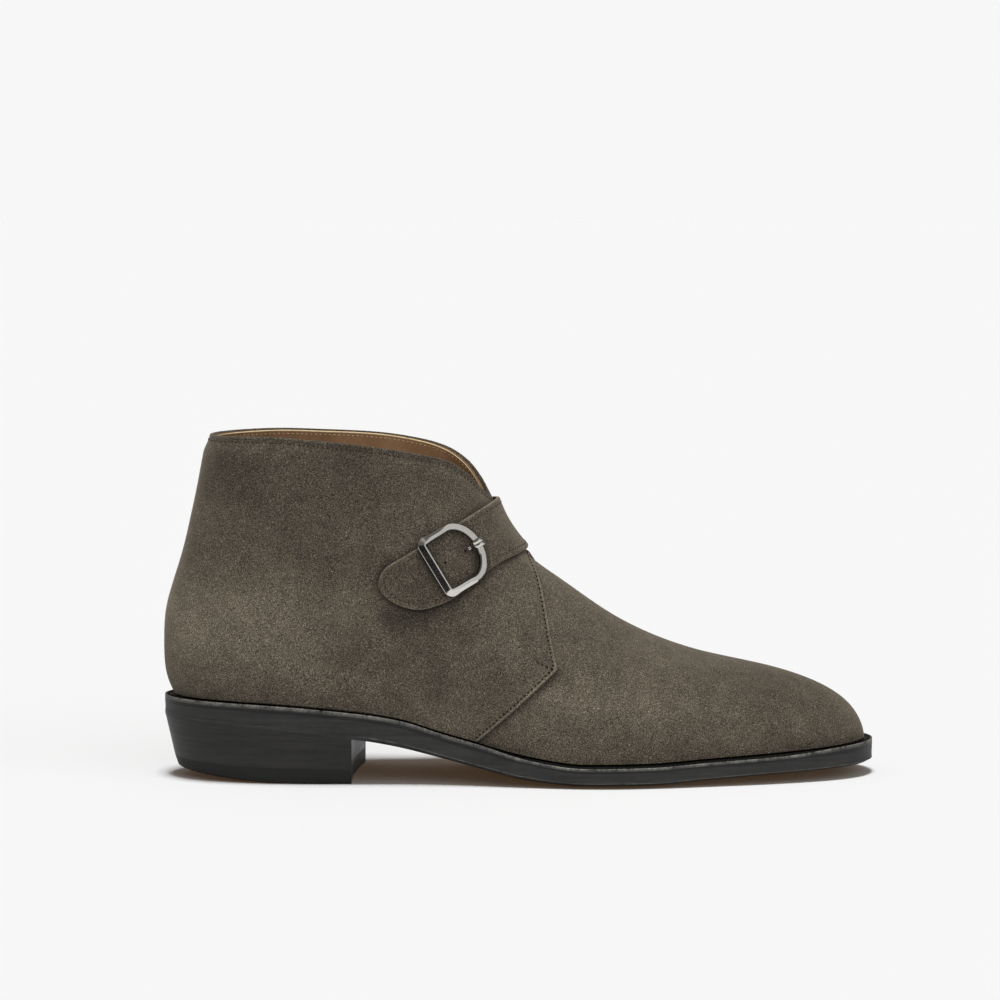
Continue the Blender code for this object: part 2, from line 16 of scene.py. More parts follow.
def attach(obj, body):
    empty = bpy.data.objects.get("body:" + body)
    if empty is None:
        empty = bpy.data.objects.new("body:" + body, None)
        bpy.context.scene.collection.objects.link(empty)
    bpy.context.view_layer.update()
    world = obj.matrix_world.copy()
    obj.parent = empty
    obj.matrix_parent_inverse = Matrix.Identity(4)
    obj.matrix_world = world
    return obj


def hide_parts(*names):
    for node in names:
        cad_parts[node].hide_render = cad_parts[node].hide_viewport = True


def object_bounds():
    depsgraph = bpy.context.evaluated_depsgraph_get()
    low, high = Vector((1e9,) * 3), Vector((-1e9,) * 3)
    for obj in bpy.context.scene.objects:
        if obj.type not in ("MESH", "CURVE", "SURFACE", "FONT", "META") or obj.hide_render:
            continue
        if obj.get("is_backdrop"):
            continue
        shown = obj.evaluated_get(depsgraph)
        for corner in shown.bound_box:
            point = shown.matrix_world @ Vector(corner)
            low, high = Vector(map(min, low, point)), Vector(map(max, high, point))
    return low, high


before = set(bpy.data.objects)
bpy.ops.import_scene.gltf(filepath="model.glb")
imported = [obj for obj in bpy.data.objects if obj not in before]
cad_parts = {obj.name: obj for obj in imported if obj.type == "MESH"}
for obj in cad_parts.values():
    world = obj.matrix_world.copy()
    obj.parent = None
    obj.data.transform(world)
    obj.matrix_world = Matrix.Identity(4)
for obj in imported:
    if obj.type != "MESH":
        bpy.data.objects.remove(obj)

CAD_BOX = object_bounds()
METRES = 0.001

# Sizes shared with the solids
SOLE_LENGTH = 302.0
GAP = 0.3
UPPER_WALL = 2.0
LAYER_GAP = 0.55
QUARTER_THICKNESS = 1.2
STRAP_THICKNESS = 1.4
WELT_THICKNESS = 3.0
WELT_WIDTH = 12.0
WELT_SHOWS = 3.2
EDGE_ROUNDING = 0.9
SOLE_CROWN = 1.2
CROWN_WIDTH = 13.0
CROWN_START = 100.0
CROWN_LENGTH = 50.0
INSOLE_THICKNESS = 2.6
INSOLE_INSET = 6.4
INSOLE_END_INSET = 8.8
HEEL_LENGTH = 80.6
HEEL_BREAST_SKEW = 3.6
HEEL_BACK_SLANT = 5.5
HEEL_FLAT_STATION = 60.0
HEEL_REAR_RISE = 4.9
HEEL_RISE_POWER = 1.8
HEEL_SIDE_TAPER = 2.4
HEEL_BREAST_HOLLOW = 1.5
TOP_LIFT = 6.5
END_ROUND = 15.0
BACK_SEAM_HALF_ANGLE = 0.006
QUARTER_LOW_LEVEL = 0.012
STRAP_TIP_STATION = 93.5
STRAP_TIP_RADIUS = 10.5
STRAP_ROOT_STATION = 112.0
STRAP_LIFT = 1.8
STRAP_LIFT_LENGTH = 24.0
INSTEP_RADIUS = 30.0
BUCKLE_STATION = 123.1
BUCKLE_RAISE = 1.7
BUCKLE_TURN = -1.8
BUCKLE_LENGTH = 24.9
BUCKLE_WIDTH = 27.9
BUCKLE_SHOULDER = 1.6
BUCKLE_THICKNESS = 2.0
BUCKLE_CLEAR = 4.5

# Sizes of the finer forms
SUEDE_WALL = 1.25
LINING_GAP = 0.05
QUARTER_INNER = 0.3
QUARTER_OUTER = LAYER_GAP + QUARTER_THICKNESS
STRAP_BASE = QUARTER_OUTER + GAP
CUT_ROUNDING = 0.9
CUT_THINNING = 0.85
GROOVE_DEPTH = 0.14
GROOVE_WIDTH = 0.45
STITCH_RISE = 0.1
SKIVE_REACH = 7.0
SKIVE_LEFT = 0.4
SKIVE_HEIGHTS = (48.0, 62.0)
COLLAR_LEFT = 0.12
COLLAR_REACH = 8.0
THROAT_HALF_ANGLE = 0.004
NEAR_ENOUGH = 0.985
EDGE_SAMPLES = 1400
SHADE_SAMPLES = 900
TACK_SAMPLES = 40
SEAM_ROW = 1.8
SEAM_CREASE = 3.6
SEAM_THREAD = 0.33
TACK_LENGTH = 9.5
TACK_RISE = 3.4
FINE_THREAD = 0.22
COLLAR_ROW = 1.8
STRAP_ROW = 2.3
FOLD_RISE = 0.6
FOLD_SKIRT = 0.5
FOLD_INSIDE = 0.95
FOLD_PROUD = 0.06
FOLD_TUCK = 0.15
FOLD_LIP = 0.1
FOLD_DEPTH = 0.6
FOLD_WALL = 0.5
CREAM_RADIUS = 0.34
CREAM_INSET = 1.87
CREAM_RISE = -0.5
BUCKLE_BAR = 3.5
BUCKLE_BAND = 3.0
BUCKLE_CORNER = 2.2
BUCKLE_EDGE = 0.28
BUCKLE_INNER_EDGE = 0.75
STRAP_HOLES = (-5.0, 5.3)
HOLE_RADIUS = 0.6
HOLE_SIDES = 24
HOLE_SECTION = ((1.0, -0.1), (0.95, 0.02), (0.8, 0.03))
PRONG_HALF_WIDTH = 2.0
PRONG_FLAT = 1.0
TIGHT = 0.03
SIDE_TUCK = 0.12
HEEL_LAYERS = (0.12, 0.22, 0.5, 0.76)
HEEL_GROOVE = 0.05
HEEL_GROOVE_WIDTH = 0.02
HEEL_EDGE = 0.3
HEEL_EDGE_SHARE = 0.125
LIFT_ROWS = 24
STACK_ROWS = 90


def table(names, rows):
    """The columns of a table by name."""
    return dict(zip(names.split(), np.array(rows, float).T))


# Outline of the sole seen from above
FOOTPRINT = table(
    "station centre half",
    (
        (0, -2.0, 0.0),
        (10, -2.0, 18.5),
        (40, -2.0, 30.3),
        (83, -2.2, 31.6),
        (118, -4.2, 30.0),
        (150, -4.0, 36.5),
        (180, -0.2, 45.2),
        (205, 3.2, 47.0),
        (230, 5.2, 43.8),
        (255, 5.8, 38.2),
        (280, 5.6, 28.8),
        (293, 5.2, 19.8),
        (SOLE_LENGTH, 5.0, 0.0),
    ),
)

# Side of the sole: heel seat, arch, flat tread, toe spring
SOLE_SIDE = table(
    "station top bottom",
    (
        (0, 34.7, 26.6),
        (40, 33.5, 24.0),
        (83, 29.9, 18.8),
        (101, 26.9, 15.5),
        (118, 21.7, 10.9),
        (135, 17.2, 6.1),
        (152, 13.0, 2.1),
        (178, 9.7, 0.0),
        (206, 9.9, 0.0),
        (228, 11.1, 1.3),
        (250, 12.1, 2.4),
        (275, 13.3, 3.2),
        (SOLE_LENGTH, 14.8, 3.9),
    ),
)

# Rings round the upper from the sole to the collar, each through a point of the back and one of the
# ridge. Heel, waist, ball and toe are half widths, sole_share is how much of the sole's outline a ring
# keeps, swell how far it stands out, dip how far it follows the sole and crest how far the collar.
RINGS = table(
    "back_x back_z front_x front_z heel waist ball toe sole_share swell ridge_y dip crest",
    (
        (6.0, 35.0, 298.6, 15.1, 50.0, 31.0, 48.0, 44.0, 1.00, 0.0, 5.0, 1.00, 0.00),
        (2.8, 43.2, 297.4, 20.7, 54.0, 35.0, 49.0, 43.0, 0.80, 1.0, 5.0, 0.82, 0.00),
        (1.9, 52.2, 292.3, 28.9, 56.0, 36.5, 50.0, 40.0, 0.50, 1.0, 5.2, 0.60, 0.00),
        (2.0, 61.2, 280.0, 37.5, 53.0, 36.5, 44.5, 40.0, 0.25, 0.6, 5.4, 0.40, 0.00),
        (2.8, 70.7, 258.5, 44.9, 49.5, 35.6, 39.4, 35.0, 0.08, 0.0, 5.6, 0.22, 0.00),
        (5.1, 80.2, 233.0, 50.3, 45.0, 34.0, 36.4, 34.5, 0.00, 0.0, 5.6, 0.10, 0.00),
        (8.0, 90.2, 210.0, 57.8, 41.5, 32.8, 34.6, 34.0, 0.00, 0.0, 5.2, 0.03, 0.00),
        (10.8, 100.2, 190.0, 67.8, 40.0, 32.2, 32.8, 33.0, 0.00, 0.0, 4.4, 0.00, 0.05),
        (13.4, 110.7, 170.0, 81.7, 38.5, 31.9, 31.5, 31.5, 0.00, 0.0, 3.2, 0.00, 0.20),
        (15.8, 121.7, 154.6, 92.9, 38.0, 32.0, 30.2, 30.0, 0.00, 0.0, 2.0, 0.00, 0.45),
        (18.0, 133.2, 143.9, 106.4, 39.0, 33.0, 30.5, 29.0, 0.00, 0.0, 1.0, 0.00, 0.75),
        (20.3, 144.7, 139.0, 117.6, 40.0, 34.0, 32.0, 28.5, 0.00, 0.0, 0.0, 0.00, 1.00),
    ),
)

# Where along a ring the four half widths hold, as shares of its length
WIDTH_PLACES = {"heel": 0.06, "waist": 0.36, "ball": 0.68, "toe": 0.94}

# Top edge of the collar on the outer and the inner side
COLLAR = table(
    "station outer inner",
    (
        (20.3, 144.7, 144.7),
        (45.0, 145.1, 145.1),
        (67.0, 143.7, 144.3),
        (88.0, 141.3, 143.3),
        (110.0, 137.4, 140.4),
        (120.5, 134.6, 137.4),
        (129.0, 128.6, 132.1),
        (134.5, 122.2, 125.6),
        (139.0, 117.6, 117.6),
    ),
)

# Front edge of the quarters, from the welt to its corner and up to the ridge
SEAM = table(
    "height station",
    (
        (15.0, 129.6),
        (48.4, 166.7),
        (60.3, 164.2),
        (75.9, 161.2),
        (84.5, 159.0),
        (93.0, 154.6),
    ),
)
SEAM_CORNER = 1

# Lower and upper edge of the strap seen from the side
STRAP_EDGES = table(
    "station lower upper",
    (
        (90, 69.9, 88.9),
        (106, 72.7, 97.8),
        (125, 79.2, 109.2),
        (138, 89.3, 116.6),
        (154.5, 95.3, 124.8),
    ),
)

# Soft troughs and ridges of the worn suede: where, how they lie (degrees), half sizes and depth
FOLDS = table(
    "station height tilt length width depth",
    (
        (0, 66, 90, 26, 9.0, 0.40),
        (34, 98, 12, 26, 9.0, -0.45),
        (48, 116, 6, 30, 10.0, 0.30),
        (66, 76, -8, 24, 12.0, 0.45),
        (100, 58, 24, 26, 7.0, -0.40),
        (112, 46, 28, 26, 7.0, 0.30),
        (196, 50, -48, 22, 6.0, -0.35),
        (206, 46, -50, 24, 7.0, 0.30),
        (218, 40, -54, 20, 6.0, -0.25),
    ),
)

# Where the suede is painted darker, or lighter below zero, as shade and light, partly the nap's own tone:
# place, half sizes and tone
PAINTED_LIGHT_AND_NAP = table(
    "station height length width tone",
    (
        (24, 131, 40, 14, 0.19),
        (30, 66, 56, 22, -0.2),
        (112, 60, 16, 9, 0.05),
        (102, 82, 12, 10, 0.12),
        (30, 38, 40, 6, 0.06),
        (150, 34, 60, 14, -0.08),
        (215, 30, 50, 10, -0.08),
        (152, 77, 22, 18, -0.17),
        (258, 36, 30, 12, 0.1),
    ),
)
WELT_SHADE = 0.06
WELT_SHADE_REACH = 5.0
STRAP_SHADE = 0.3
STRAP_SHADE_DROP = 1.5
STRAP_SHADE_REACH = 5.5
STRAP_SHADE_START = 10.0
STRAP_SHADE_STATION = 135.0
STRAP_SHADE_END = 24.0
CONTACT_SHADE = 0.3
CONTACT_REACH = 1.4
SEAM_SHADE = 0.4
SEAM_SHADE_REACH = 1.5
BUCKLE_SHADE = 0.45
BUCKLE_SHADE_REACH = 3.0
COLLAR_SHADE = 0.12
# Painted highlight along the cut edges of strap and quarters
CUT_HIGHLIGHT = 0.35
CUT_HIGHLIGHT_WIDTH = 0.45
# Painted shadow line and painted highlight along a quarter's front edge
SEAM_HIGHLIGHT_INSET = 0.75
SEAM_SHADOW_LINE = 0.5
SEAM_SHADOW_WIDTH = 0.3


def natural_spline(knots, values):
    """A smooth curve through the values, free of bend at both ends."""
    count = len(knots)
    gaps = np.diff(knots)
    slopes = np.diff(values) / gaps
    matrix = np.eye(count)
    bends = np.zeros(count)
    for i in range(1, count - 1):
        matrix[i, i - 1 : i + 2] = gaps[i - 1], 2 * (gaps[i - 1] + gaps[i]), gaps[i]
        bends[i] = 6 * (slopes[i] - slopes[i - 1])
    bends = np.linalg.solve(matrix, bends)

    def curve(at):
        i = np.clip(np.searchsorted(knots, at) - 1, 0, count - 2)
        gap = gaps[i]
        left = at - knots[i]
        right = knots[i + 1] - at
        cubic = (bends[i] * right**3 + bends[i + 1] * left**3) / (6 * gap)
        start = (values[i] / gap - bends[i] * gap / 6) * right
        end = (values[i + 1] / gap - bends[i + 1] * gap / 6) * left
        return cubic + start + end

    return curve


def level_spline(knots, values):
    """A smooth curve through the values that never overshoots and stays flat between equal ones."""
    count = len(knots)
    gaps = np.diff(knots)
    slopes = np.diff(values) / gaps
    tangents = np.zeros(count)
    tangents[0], tangents[-1] = slopes[0], slopes[-1]
    for i in range(1, count - 1):
        before, after = slopes[i - 1], slopes[i]
        if before * after > 0:
            near, far = 2 * gaps[i] + gaps[i - 1], gaps[i] + 2 * gaps[i - 1]
            tangents[i] = (near + far) / (near / before + far / after)

    def curve(at):
        i = np.clip(np.searchsorted(knots, at) - 1, 0, count - 2)
        u = (at - knots[i]) / gaps[i]
        start = values[i] * (1 + 2 * u) * (1 - u) ** 2 + tangents[i] * gaps[i] * u * (1 - u) ** 2
        end = values[i + 1] * u**2 * (3 - 2 * u) + tangents[i + 1] * gaps[i] * u**2 * (u - 1)
        return start + end

    return curve


def solve(rising, low, high):
    """Where a rising function crosses zero, or the nearer end of the range."""
    for _ in range(40):
        middle = (low + high) / 2
        below = rising(middle) < 0
        low = np.where(below, middle, low)
        high = np.where(below, high, middle)
    return (low + high) / 2


def between(start, end, share):
    return start + (end - start) * share


def smooth(share):
    """A soft step from 0 to 1."""
    share = np.clip(share, 0, 1)
    return share**2 * (3 - 2 * share)


def bell(value, reach):
    """A soft bump: 1 where the value is 0, fading over the reach."""
    return np.exp(-((value / reach) ** 2))


def unit(vectors):
    return vectors / np.linalg.norm(vectors, axis=-1, keepdims=True)


def stack(*parts):
    """Points from their coordinates."""
    return np.stack(parts, axis=-1)


def path_length(path):
    """Distance along a path of points up to each of them."""
    return np.concatenate([[0], np.cumsum(np.linalg.norm(np.diff(path, axis=0), axis=1))])


FOOT_ANGLES = np.arccos(1 - 2 * FOOTPRINT["station"] / SOLE_LENGTH)
FOOT_HALF = natural_spline(FOOT_ANGLES, FOOTPRINT["half"])
FOOT_CENTRE = natural_spline(FOOT_ANGLES, FOOTPRINT["centre"])
SOLE_TOP = level_spline(SOLE_SIDE["station"], SOLE_SIDE["top"])
SOLE_BOTTOM = level_spline(SOLE_SIDE["station"], SOLE_SIDE["bottom"])
RING_LEVELS = np.linspace(0, 1, len(RINGS["back_x"]))
RING_CURVES = {name: natural_spline(RING_LEVELS, column) for name, column in RINGS.items()}
COLLAR_OUTER = level_spline(COLLAR["station"], COLLAR["outer"])
COLLAR_INNER = level_spline(COLLAR["station"], COLLAR["inner"])
STRAP_LOWER = natural_spline(STRAP_EDGES["station"], STRAP_EDGES["lower"])
STRAP_UPPER = natural_spline(STRAP_EDGES["station"], STRAP_EDGES["upper"])
SEAM_CURVE = level_spline(SEAM["height"][SEAM_CORNER:], SEAM["station"][SEAM_CORNER:])


# The form of the upper, as in the solids

def foot_half(along, inset):
    """Half width of the sole's outline, moved in by inset, at a share of its length."""
    half = FOOT_HALF(np.arccos(1 - 2 * along))
    return half - inset * half / np.hypot(half, END_ROUND)


def foot_centre(along):
    return FOOT_CENTRE(np.arccos(1 - 2 * along))


def share_along(angle):
    """How far from heel to toe a point at this angle lies; 0 to pi is the outer side."""
    return np.clip((1 - np.cos(angle)) / 2, 0, 1)


def sole_outline(angle, inset, end_inset):
    """Station and Y of the sole's outline, moved in at its sides and at heel and toe."""
    along = share_along(angle)
    station = between(end_inset, SOLE_LENGTH - end_inset, along)
    y = foot_centre(along) - np.sign(np.sin(angle)) * foot_half(along, inset)
    return station, y


def ring_fullness(ring, along):
    """Half width of a ring before its ends are rounded, through the four widths of its row."""
    total = 0
    for name, place in WIDTH_PLACES.items():
        weight = 1
        for other in WIDTH_PLACES.values():
            if other != place:
                weight = weight * (along - other) / (place - other)
        total = total + ring[name] * weight
    return total


def ring_height(ring, along, side):
    """Height along a ring: a straight line from back to ridge, the sole's dip and the collar's crest."""
    first = {name: column[0] for name, column in RINGS.items()}
    last = {name: column[-1] for name, column in RINGS.items()}
    straight = between(ring["back_z"], ring["front_z"], along)
    sole = SOLE_TOP(between(first["back_x"], first["front_x"], along)) + GAP
    dip = sole - between(first["back_z"], first["front_z"], along)
    collar_at = between(last["back_x"], last["front_x"], along)
    inner_share = 0.5 - 0.5 * np.tanh(3 * side)
    collar = between(COLLAR_OUTER(collar_at), COLLAR_INNER(collar_at), inner_share)
    crest = collar - between(last["back_z"], last["front_z"], along)
    return straight + ring["dip"] * dip + ring["crest"] * crest


def upper_point(level, angle):
    """Outer face of the upper: level 0 is at the welt and 1 at the collar."""
    level, angle = np.broadcast_arrays(np.asarray(level, float), np.asarray(angle, float))
    ring = {name: curve(level) for name, curve in RING_CURVES.items()}
    along = share_along(angle)
    side = np.sin(angle)
    swell = ring["swell"] * np.tanh(3 * side)
    outline = np.sign(side) * foot_half(along, WELT_SHOWS) + swell
    rounded = side * ring_fullness(ring, along)
    heel_y = FOOTPRINT["centre"][0]
    centre = between(between(heel_y, ring["ridge_y"], along), foot_centre(along), ring["sole_share"])
    y = centre - between(rounded, outline, ring["sole_share"])
    x = between(ring["back_x"], ring["front_x"], along)
    return stack(x, y, ring_height(ring, along, side))


def face_directions(level, angle):
    """Directions up and round the upper's face, each for one unit of level and of angle."""
    step = 1e-3
    low, high = np.clip(level - step, 0, 1), np.clip(level + step, 0, 1)
    up = (upper_point(high, angle) - upper_point(low, angle)) / np.asarray(high - low)[..., None]
    round_ = (upper_point(level, angle + step) - upper_point(level, angle - step)) / (2 * step)
    return up, round_


def upper_normal(level, angle):
    """Direction out of the upper's face."""
    up, round_ = face_directions(level, angle)
    return unit(np.cross(round_, up))


def fold_relief(points):
    """How far the soft troughs and ridges move the face in or out."""
    total = 0
    for station, height, tilt, length, width, depth in zip(*FOLDS.values()):
        turn = math.radians(tilt)
        ahead, above = points[..., 0] - station, points[..., 2] - height
        along = ahead * math.cos(turn) + above * math.sin(turn)
        across = above * math.cos(turn) - ahead * math.sin(turn)
        total = total + depth * bell(along, length) * bell(across, width)
    return total


def painted_light_and_nap(points):
    """How much darker the suede is painted: shade and light by the table, partly the nap's own tone, and
    shade close above the welt.
    """
    above = points[..., 2] - SOLE_TOP(points[..., 0])
    total = WELT_SHADE * bell(above, WELT_SHADE_REACH)
    for station, height, length, width, tone in zip(*PAINTED_LIGHT_AND_NAP.values()):
        total = total + tone * bell(points[..., 0] - station, length) * bell(points[..., 2] - height, width)
    return total


def strap_shade(points):
    """How much darker a quarter is close below the strap."""
    station = points[..., 0]
    below = STRAP_LOWER(np.clip(station, STRAP_TIP_STATION, None)) - points[..., 2]
    beside = smooth((station - STRAP_TIP_STATION) / STRAP_SHADE_START + 0.5)
    beside = beside * smooth((STRAP_SHADE_STATION - station) / STRAP_SHADE_END)
    return STRAP_SHADE * beside * bell(below - STRAP_SHADE_DROP, STRAP_SHADE_REACH)


def above_upper(level, angle, offset):
    """A point at this distance above the upper's face with its folds."""
    points = upper_point(level, angle)
    out = np.asarray(offset, float) + fold_relief(points)
    return points + out[..., None] * upper_normal(level, angle)


def place_on_side(station, height):
    """Level and angle of the outer side's point that has this station and height."""

    def angle_at(level):
        back, front = RING_CURVES["back_x"](level), RING_CURVES["front_x"](level)
        return np.arccos(np.clip(1 - 2 * (station - back) / (front - back), -1, 1))

    level = solve(lambda at: upper_point(at, angle_at(at))[..., 2] - height, 0.0, 1.0)
    return level, angle_at(level)


def settle(targets, level, angle):
    """Level and angle of the face's points nearest to the targets, from a first guess."""
    for _ in range(8):
        up, round_ = face_directions(level, angle)
        gap = targets - upper_point(level, angle)
        pairs = (up, up), (up, round_), (round_, round_)
        up_up, up_round, round_round = (np.sum(first * second, -1) for first, second in pairs)
        by_up, by_round = np.sum(gap * up, -1), np.sum(gap * round_, -1)
        scale = up_up * round_round - up_round**2
        level = np.clip(level + (by_up * round_round - by_round * up_round) / scale, 0, 1)
        angle = angle + (by_round * up_up - by_up * up_round) / scale
    return level, angle


def distance_to(path, points):
    """Distance from each point of a grid to the nearest point of a dense path."""
    rows = [np.min(np.linalg.norm(row[:, None] - path[None], axis=-1), axis=1) for row in points]
    return np.array(rows)


def inset_path(level, angle, inset, side):
    """A path moved across the face by a distance, to the left of its run where side is 1."""
    points = upper_point(level, angle)
    tangent = unit(np.gradient(points, axis=0))
    moved = points + side * inset * np.cross(upper_normal(level, angle), tangent)
    clear = distance_to(points, moved[None])[0] > NEAR_ENOUGH * inset
    return settle(moved[clear], level[clear], angle[clear])


def resample(path, step):
    """Points at equal steps along a path of points."""
    reach = path_length(path)
    at = np.linspace(0, reach[-1], max(2, int(reach[-1] / step)))
    return stack(*(np.interp(at, reach, column) for column in path.T))


# Meshes

def round_angles(count):
    return np.arange(count) * 2 * math.pi / count


def grid_faces(rows, columns, rows_closed=False, columns_closed=False):
    """Quads of a grid, joined round where closed."""
    row, column = np.meshgrid(
        np.arange(rows if rows_closed else rows - 1),
        np.arange(columns if columns_closed else columns - 1),
        indexing="ij",
    )
    below, after = (row + 1) % rows, (column + 1) % columns
    start, end = row * columns, below * columns
    return stack(start + column, start + after, end + after, end + column).reshape(-1, 4).tolist()


def frame_middle():
    """Place of the frame's origin: on the floor under the middle of the sole's outline."""
    _, side = sole_outline(round_angles(SOLE_COLUMNS), 0, 0)
    return np.array([SOLE_LENGTH / 2, (side.min() + side.max()) / 2, 0])


def add_object(name, data):
    made = bpy.data.objects.new(name, data)
    bpy.context.scene.collection.objects.link(made)
    return made


def add_piece(name, points, faces, finish, nodes=(), tone=None, crease=40):
    """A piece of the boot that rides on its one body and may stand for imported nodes."""
    points = np.asarray(points, float).reshape(-1, 3) - frame_middle()
    mesh = bpy.data.meshes.new(name)
    mesh.from_pydata((points * METRES).tolist(), [], faces)
    if tone is not None:
        tones = mesh.attributes.new("tone", "FLOAT", "POINT").data
        tones.foreach_set("value", np.asarray(tone, float).ravel())
    form = bmesh.new()
    form.from_mesh(mesh)
    bmesh.ops.recalc_face_normals(form, faces=form.faces)
    form.to_mesh(mesh)
    form.free()
    mesh.shade_smooth()
    mesh.set_sharp_from_angle(angle=math.radians(crease))
    mesh.materials.append(finish)
    piece = add_object(name, mesh)
    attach(piece, "root")
    if nodes:
        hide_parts(*nodes)
    return piece


def add_shell(name, outer, inner, finish, nodes=(), tone=None, closed=False):
    """A closed wall between two grids, joined round its columns where closed."""
    rows, columns = outer.shape[:2]
    points = np.concatenate([outer, inner[::-1]])
    faces = grid_faces(2 * rows, columns, rows_closed=True, columns_closed=closed)
    if not closed:
        last, end = 2 * rows - 1, columns - 1
        for row in range(rows - 1):
            near = (row, row + 1, last - row - 1, last - row)
            faces.append([at * columns for at in near])
            faces.append([at * columns + end for at in reversed(near)])
    if tone is not None:
        tone = np.concatenate([tone, tone[::-1]])
    return add_piece(name, points, faces, finish, nodes, tone)


def add_plate(name, rings, finish, nodes=(), rungs=None, tone=None):
    """A closed body through outlines, capped by rungs from side to side and one face over the rest."""
    rings = np.array(rings)
    rows, count = rings.shape[:2]
    rungs = count // 2 - 1 if rungs is None else rungs
    faces = grid_faces(rows, count, columns_closed=True)
    for start in (0, (rows - 1) * count):
        for near in range(rungs):
            loop = (near, near + 1, count - near - 1, (count - near) % count)
            faces.append([start + corner for corner in dict.fromkeys(loop)])
        faces.append([start + corner for corner in range(rungs, count - rungs + 1)])
    return add_piece(name, rings, faces, finish, nodes, tone)


def add_tube(name, rings, finish, nodes=(), closed=False, crease=40, tone=None):
    """A tube through rings of points, joined end to end where closed and capped where not."""
    rings = np.asarray(rings)
    rows, count = rings.shape[:2]
    faces = grid_faces(rows, count, rows_closed=closed, columns_closed=True)
    if not closed:
        faces.append(list(range(count)))
        faces.append(list(range((rows - 1) * count, rows * count)))
    return add_piece(name, rings, faces, finish, nodes, tone, crease)


STITCH_RINGS = 5
STITCH_SIDES = 6
STITCH_TAPER = 0.94
STITCH_SINK = 0.25


def add_stitches(name, points, normals, finish, pitch=2.0, length=1.1, radius=0.2):
    """Separate short threads along a path, each dipping into the face at its ends."""
    reach = path_length(points)
    count = int(reach[-1] // pitch)
    middles = (np.arange(count) + 0.5) * reach[-1] / count
    share = np.linspace(-1, 1, STITCH_RINGS)
    at = middles[:, None] + share * length / 2
    centres = stack(*(np.interp(at, reach, column) for column in points.T))
    normal = unit(stack(*(np.interp(at, reach, column) for column in normals.T)))
    across = unit(np.cross(normal, np.gradient(centres, axis=1)))
    centres = centres - normal * (STITCH_SINK * share**2)[None, :, None]
    fat = radius * np.sqrt(1 - STITCH_TAPER * share**4)
    turn = round_angles(STITCH_SIDES)
    spread = across[:, :, None] * np.cos(turn)[:, None] + normal[:, :, None] * np.sin(turn)[:, None]
    rings = centres[:, :, None] + fat[:, None, None] * spread
    one = grid_faces(STITCH_RINGS, STITCH_SIDES, columns_closed=True)
    size = STITCH_RINGS * STITCH_SIDES
    one += [list(range(STITCH_SIDES)), list(range(size - STITCH_SIDES, size))]
    faces = [[corner + size * i for corner in face] for i in range(count) for face in one]
    return add_piece(name, rings, faces, finish, crease=80)


# Materials

def colour(red, green, blue):
    """Linear colour of a screen colour given as 0 to 255."""
    share = np.array([red, green, blue]) / 255
    linear = np.where(share > 0.04045, ((share + 0.055) / 1.055) ** 2.4, share / 12.92)
    return (*(float(value) for value in linear), 1.0)


def add_node(tree, kind, settings=None, **inputs):
    """A shader node with its settings and its inputs, each a value or another node's output."""
    made = tree.nodes.new("ShaderNode" + kind)
    for name, value in (settings or {}).items():
        setattr(made, name, value)
    for name, value in inputs.items():
        socket = made.inputs[int(name[1:])] if name[1:].isdigit() else made.inputs[name.replace("_", " ")]
        if isinstance(value, bpy.types.NodeSocket):
            tree.links.new(value, socket)
        else:
            socket.default_value = value
    return made


def start_material(name, roughness, metallic=0.0, **constants):
    made = bpy.data.materials.new(name)
    made.use_nodes = True
    shader = made.node_tree.nodes["Principled BSDF"]
    shader.inputs["Roughness"].default_value = roughness
    shader.inputs["Metallic"].default_value = metallic
    for key, value in constants.items():
        shader.inputs[key.replace("_", " ")].default_value = value
    return made, made.node_tree, shader


def math_node(tree, operation, first, second):
    return add_node(tree, "Math", {"operation": operation}, i0=first, i1=second).outputs[0]


def mottle(tree, layers, stretch=(1, 1, 1)):
    """A sum of noises about 0.5: each layer has a scale per metre, a weight and a detail."""
    place = add_node(tree, "TexCoord").outputs["Object"]
    place = add_node(tree, "Mapping", Vector=place, Scale=stretch).outputs[0]
    total = 0.5
    for scale, weight, detail in layers:
        noise = add_node(tree, "TexNoise", Vector=place, Scale=scale, Detail=detail).outputs["Fac"]
        centred = math_node(tree, "SUBTRACT", noise, 0.5)
        total = math_node(tree, "ADD", total, math_node(tree, "MULTIPLY", centred, weight))
    return total


def ramp(tree, share, stops):
    """A colour ramp; each stop has a place and a colour."""
    made = add_node(tree, "ValToRGB", Fac=share)
    elements = made.color_ramp.elements
    while len(elements) < len(stops):
        elements.new(0.5)
    for element, (place, value) in zip(elements, stops):
        element.position = place
        element.color = value
    return made.outputs["Color"]


def mix(tree, share, first, second):
    return add_node(tree, "Mix", {"data_type": "RGBA"}, i0=share, i6=first, i7=second).outputs[2]


def tone_of(tree):
    """The tone that a piece gives each of its points: painted shade and light on the suede and the buckle; on
    the sole and heel, wear, and on the welt's edge also a painted highlight.
    """
    return add_node(tree, "Attribute", {"attribute_name": "tone"}).outputs["Fac"]


def add_bump(tree, shader, height, strength, distance):
    bump = add_node(tree, "Bump", Strength=strength, Distance=distance * METRES, Height=height)
    tree.links.new(bump.outputs["Normal"], shader.inputs["Normal"])


NAP_RANGE = 0.6


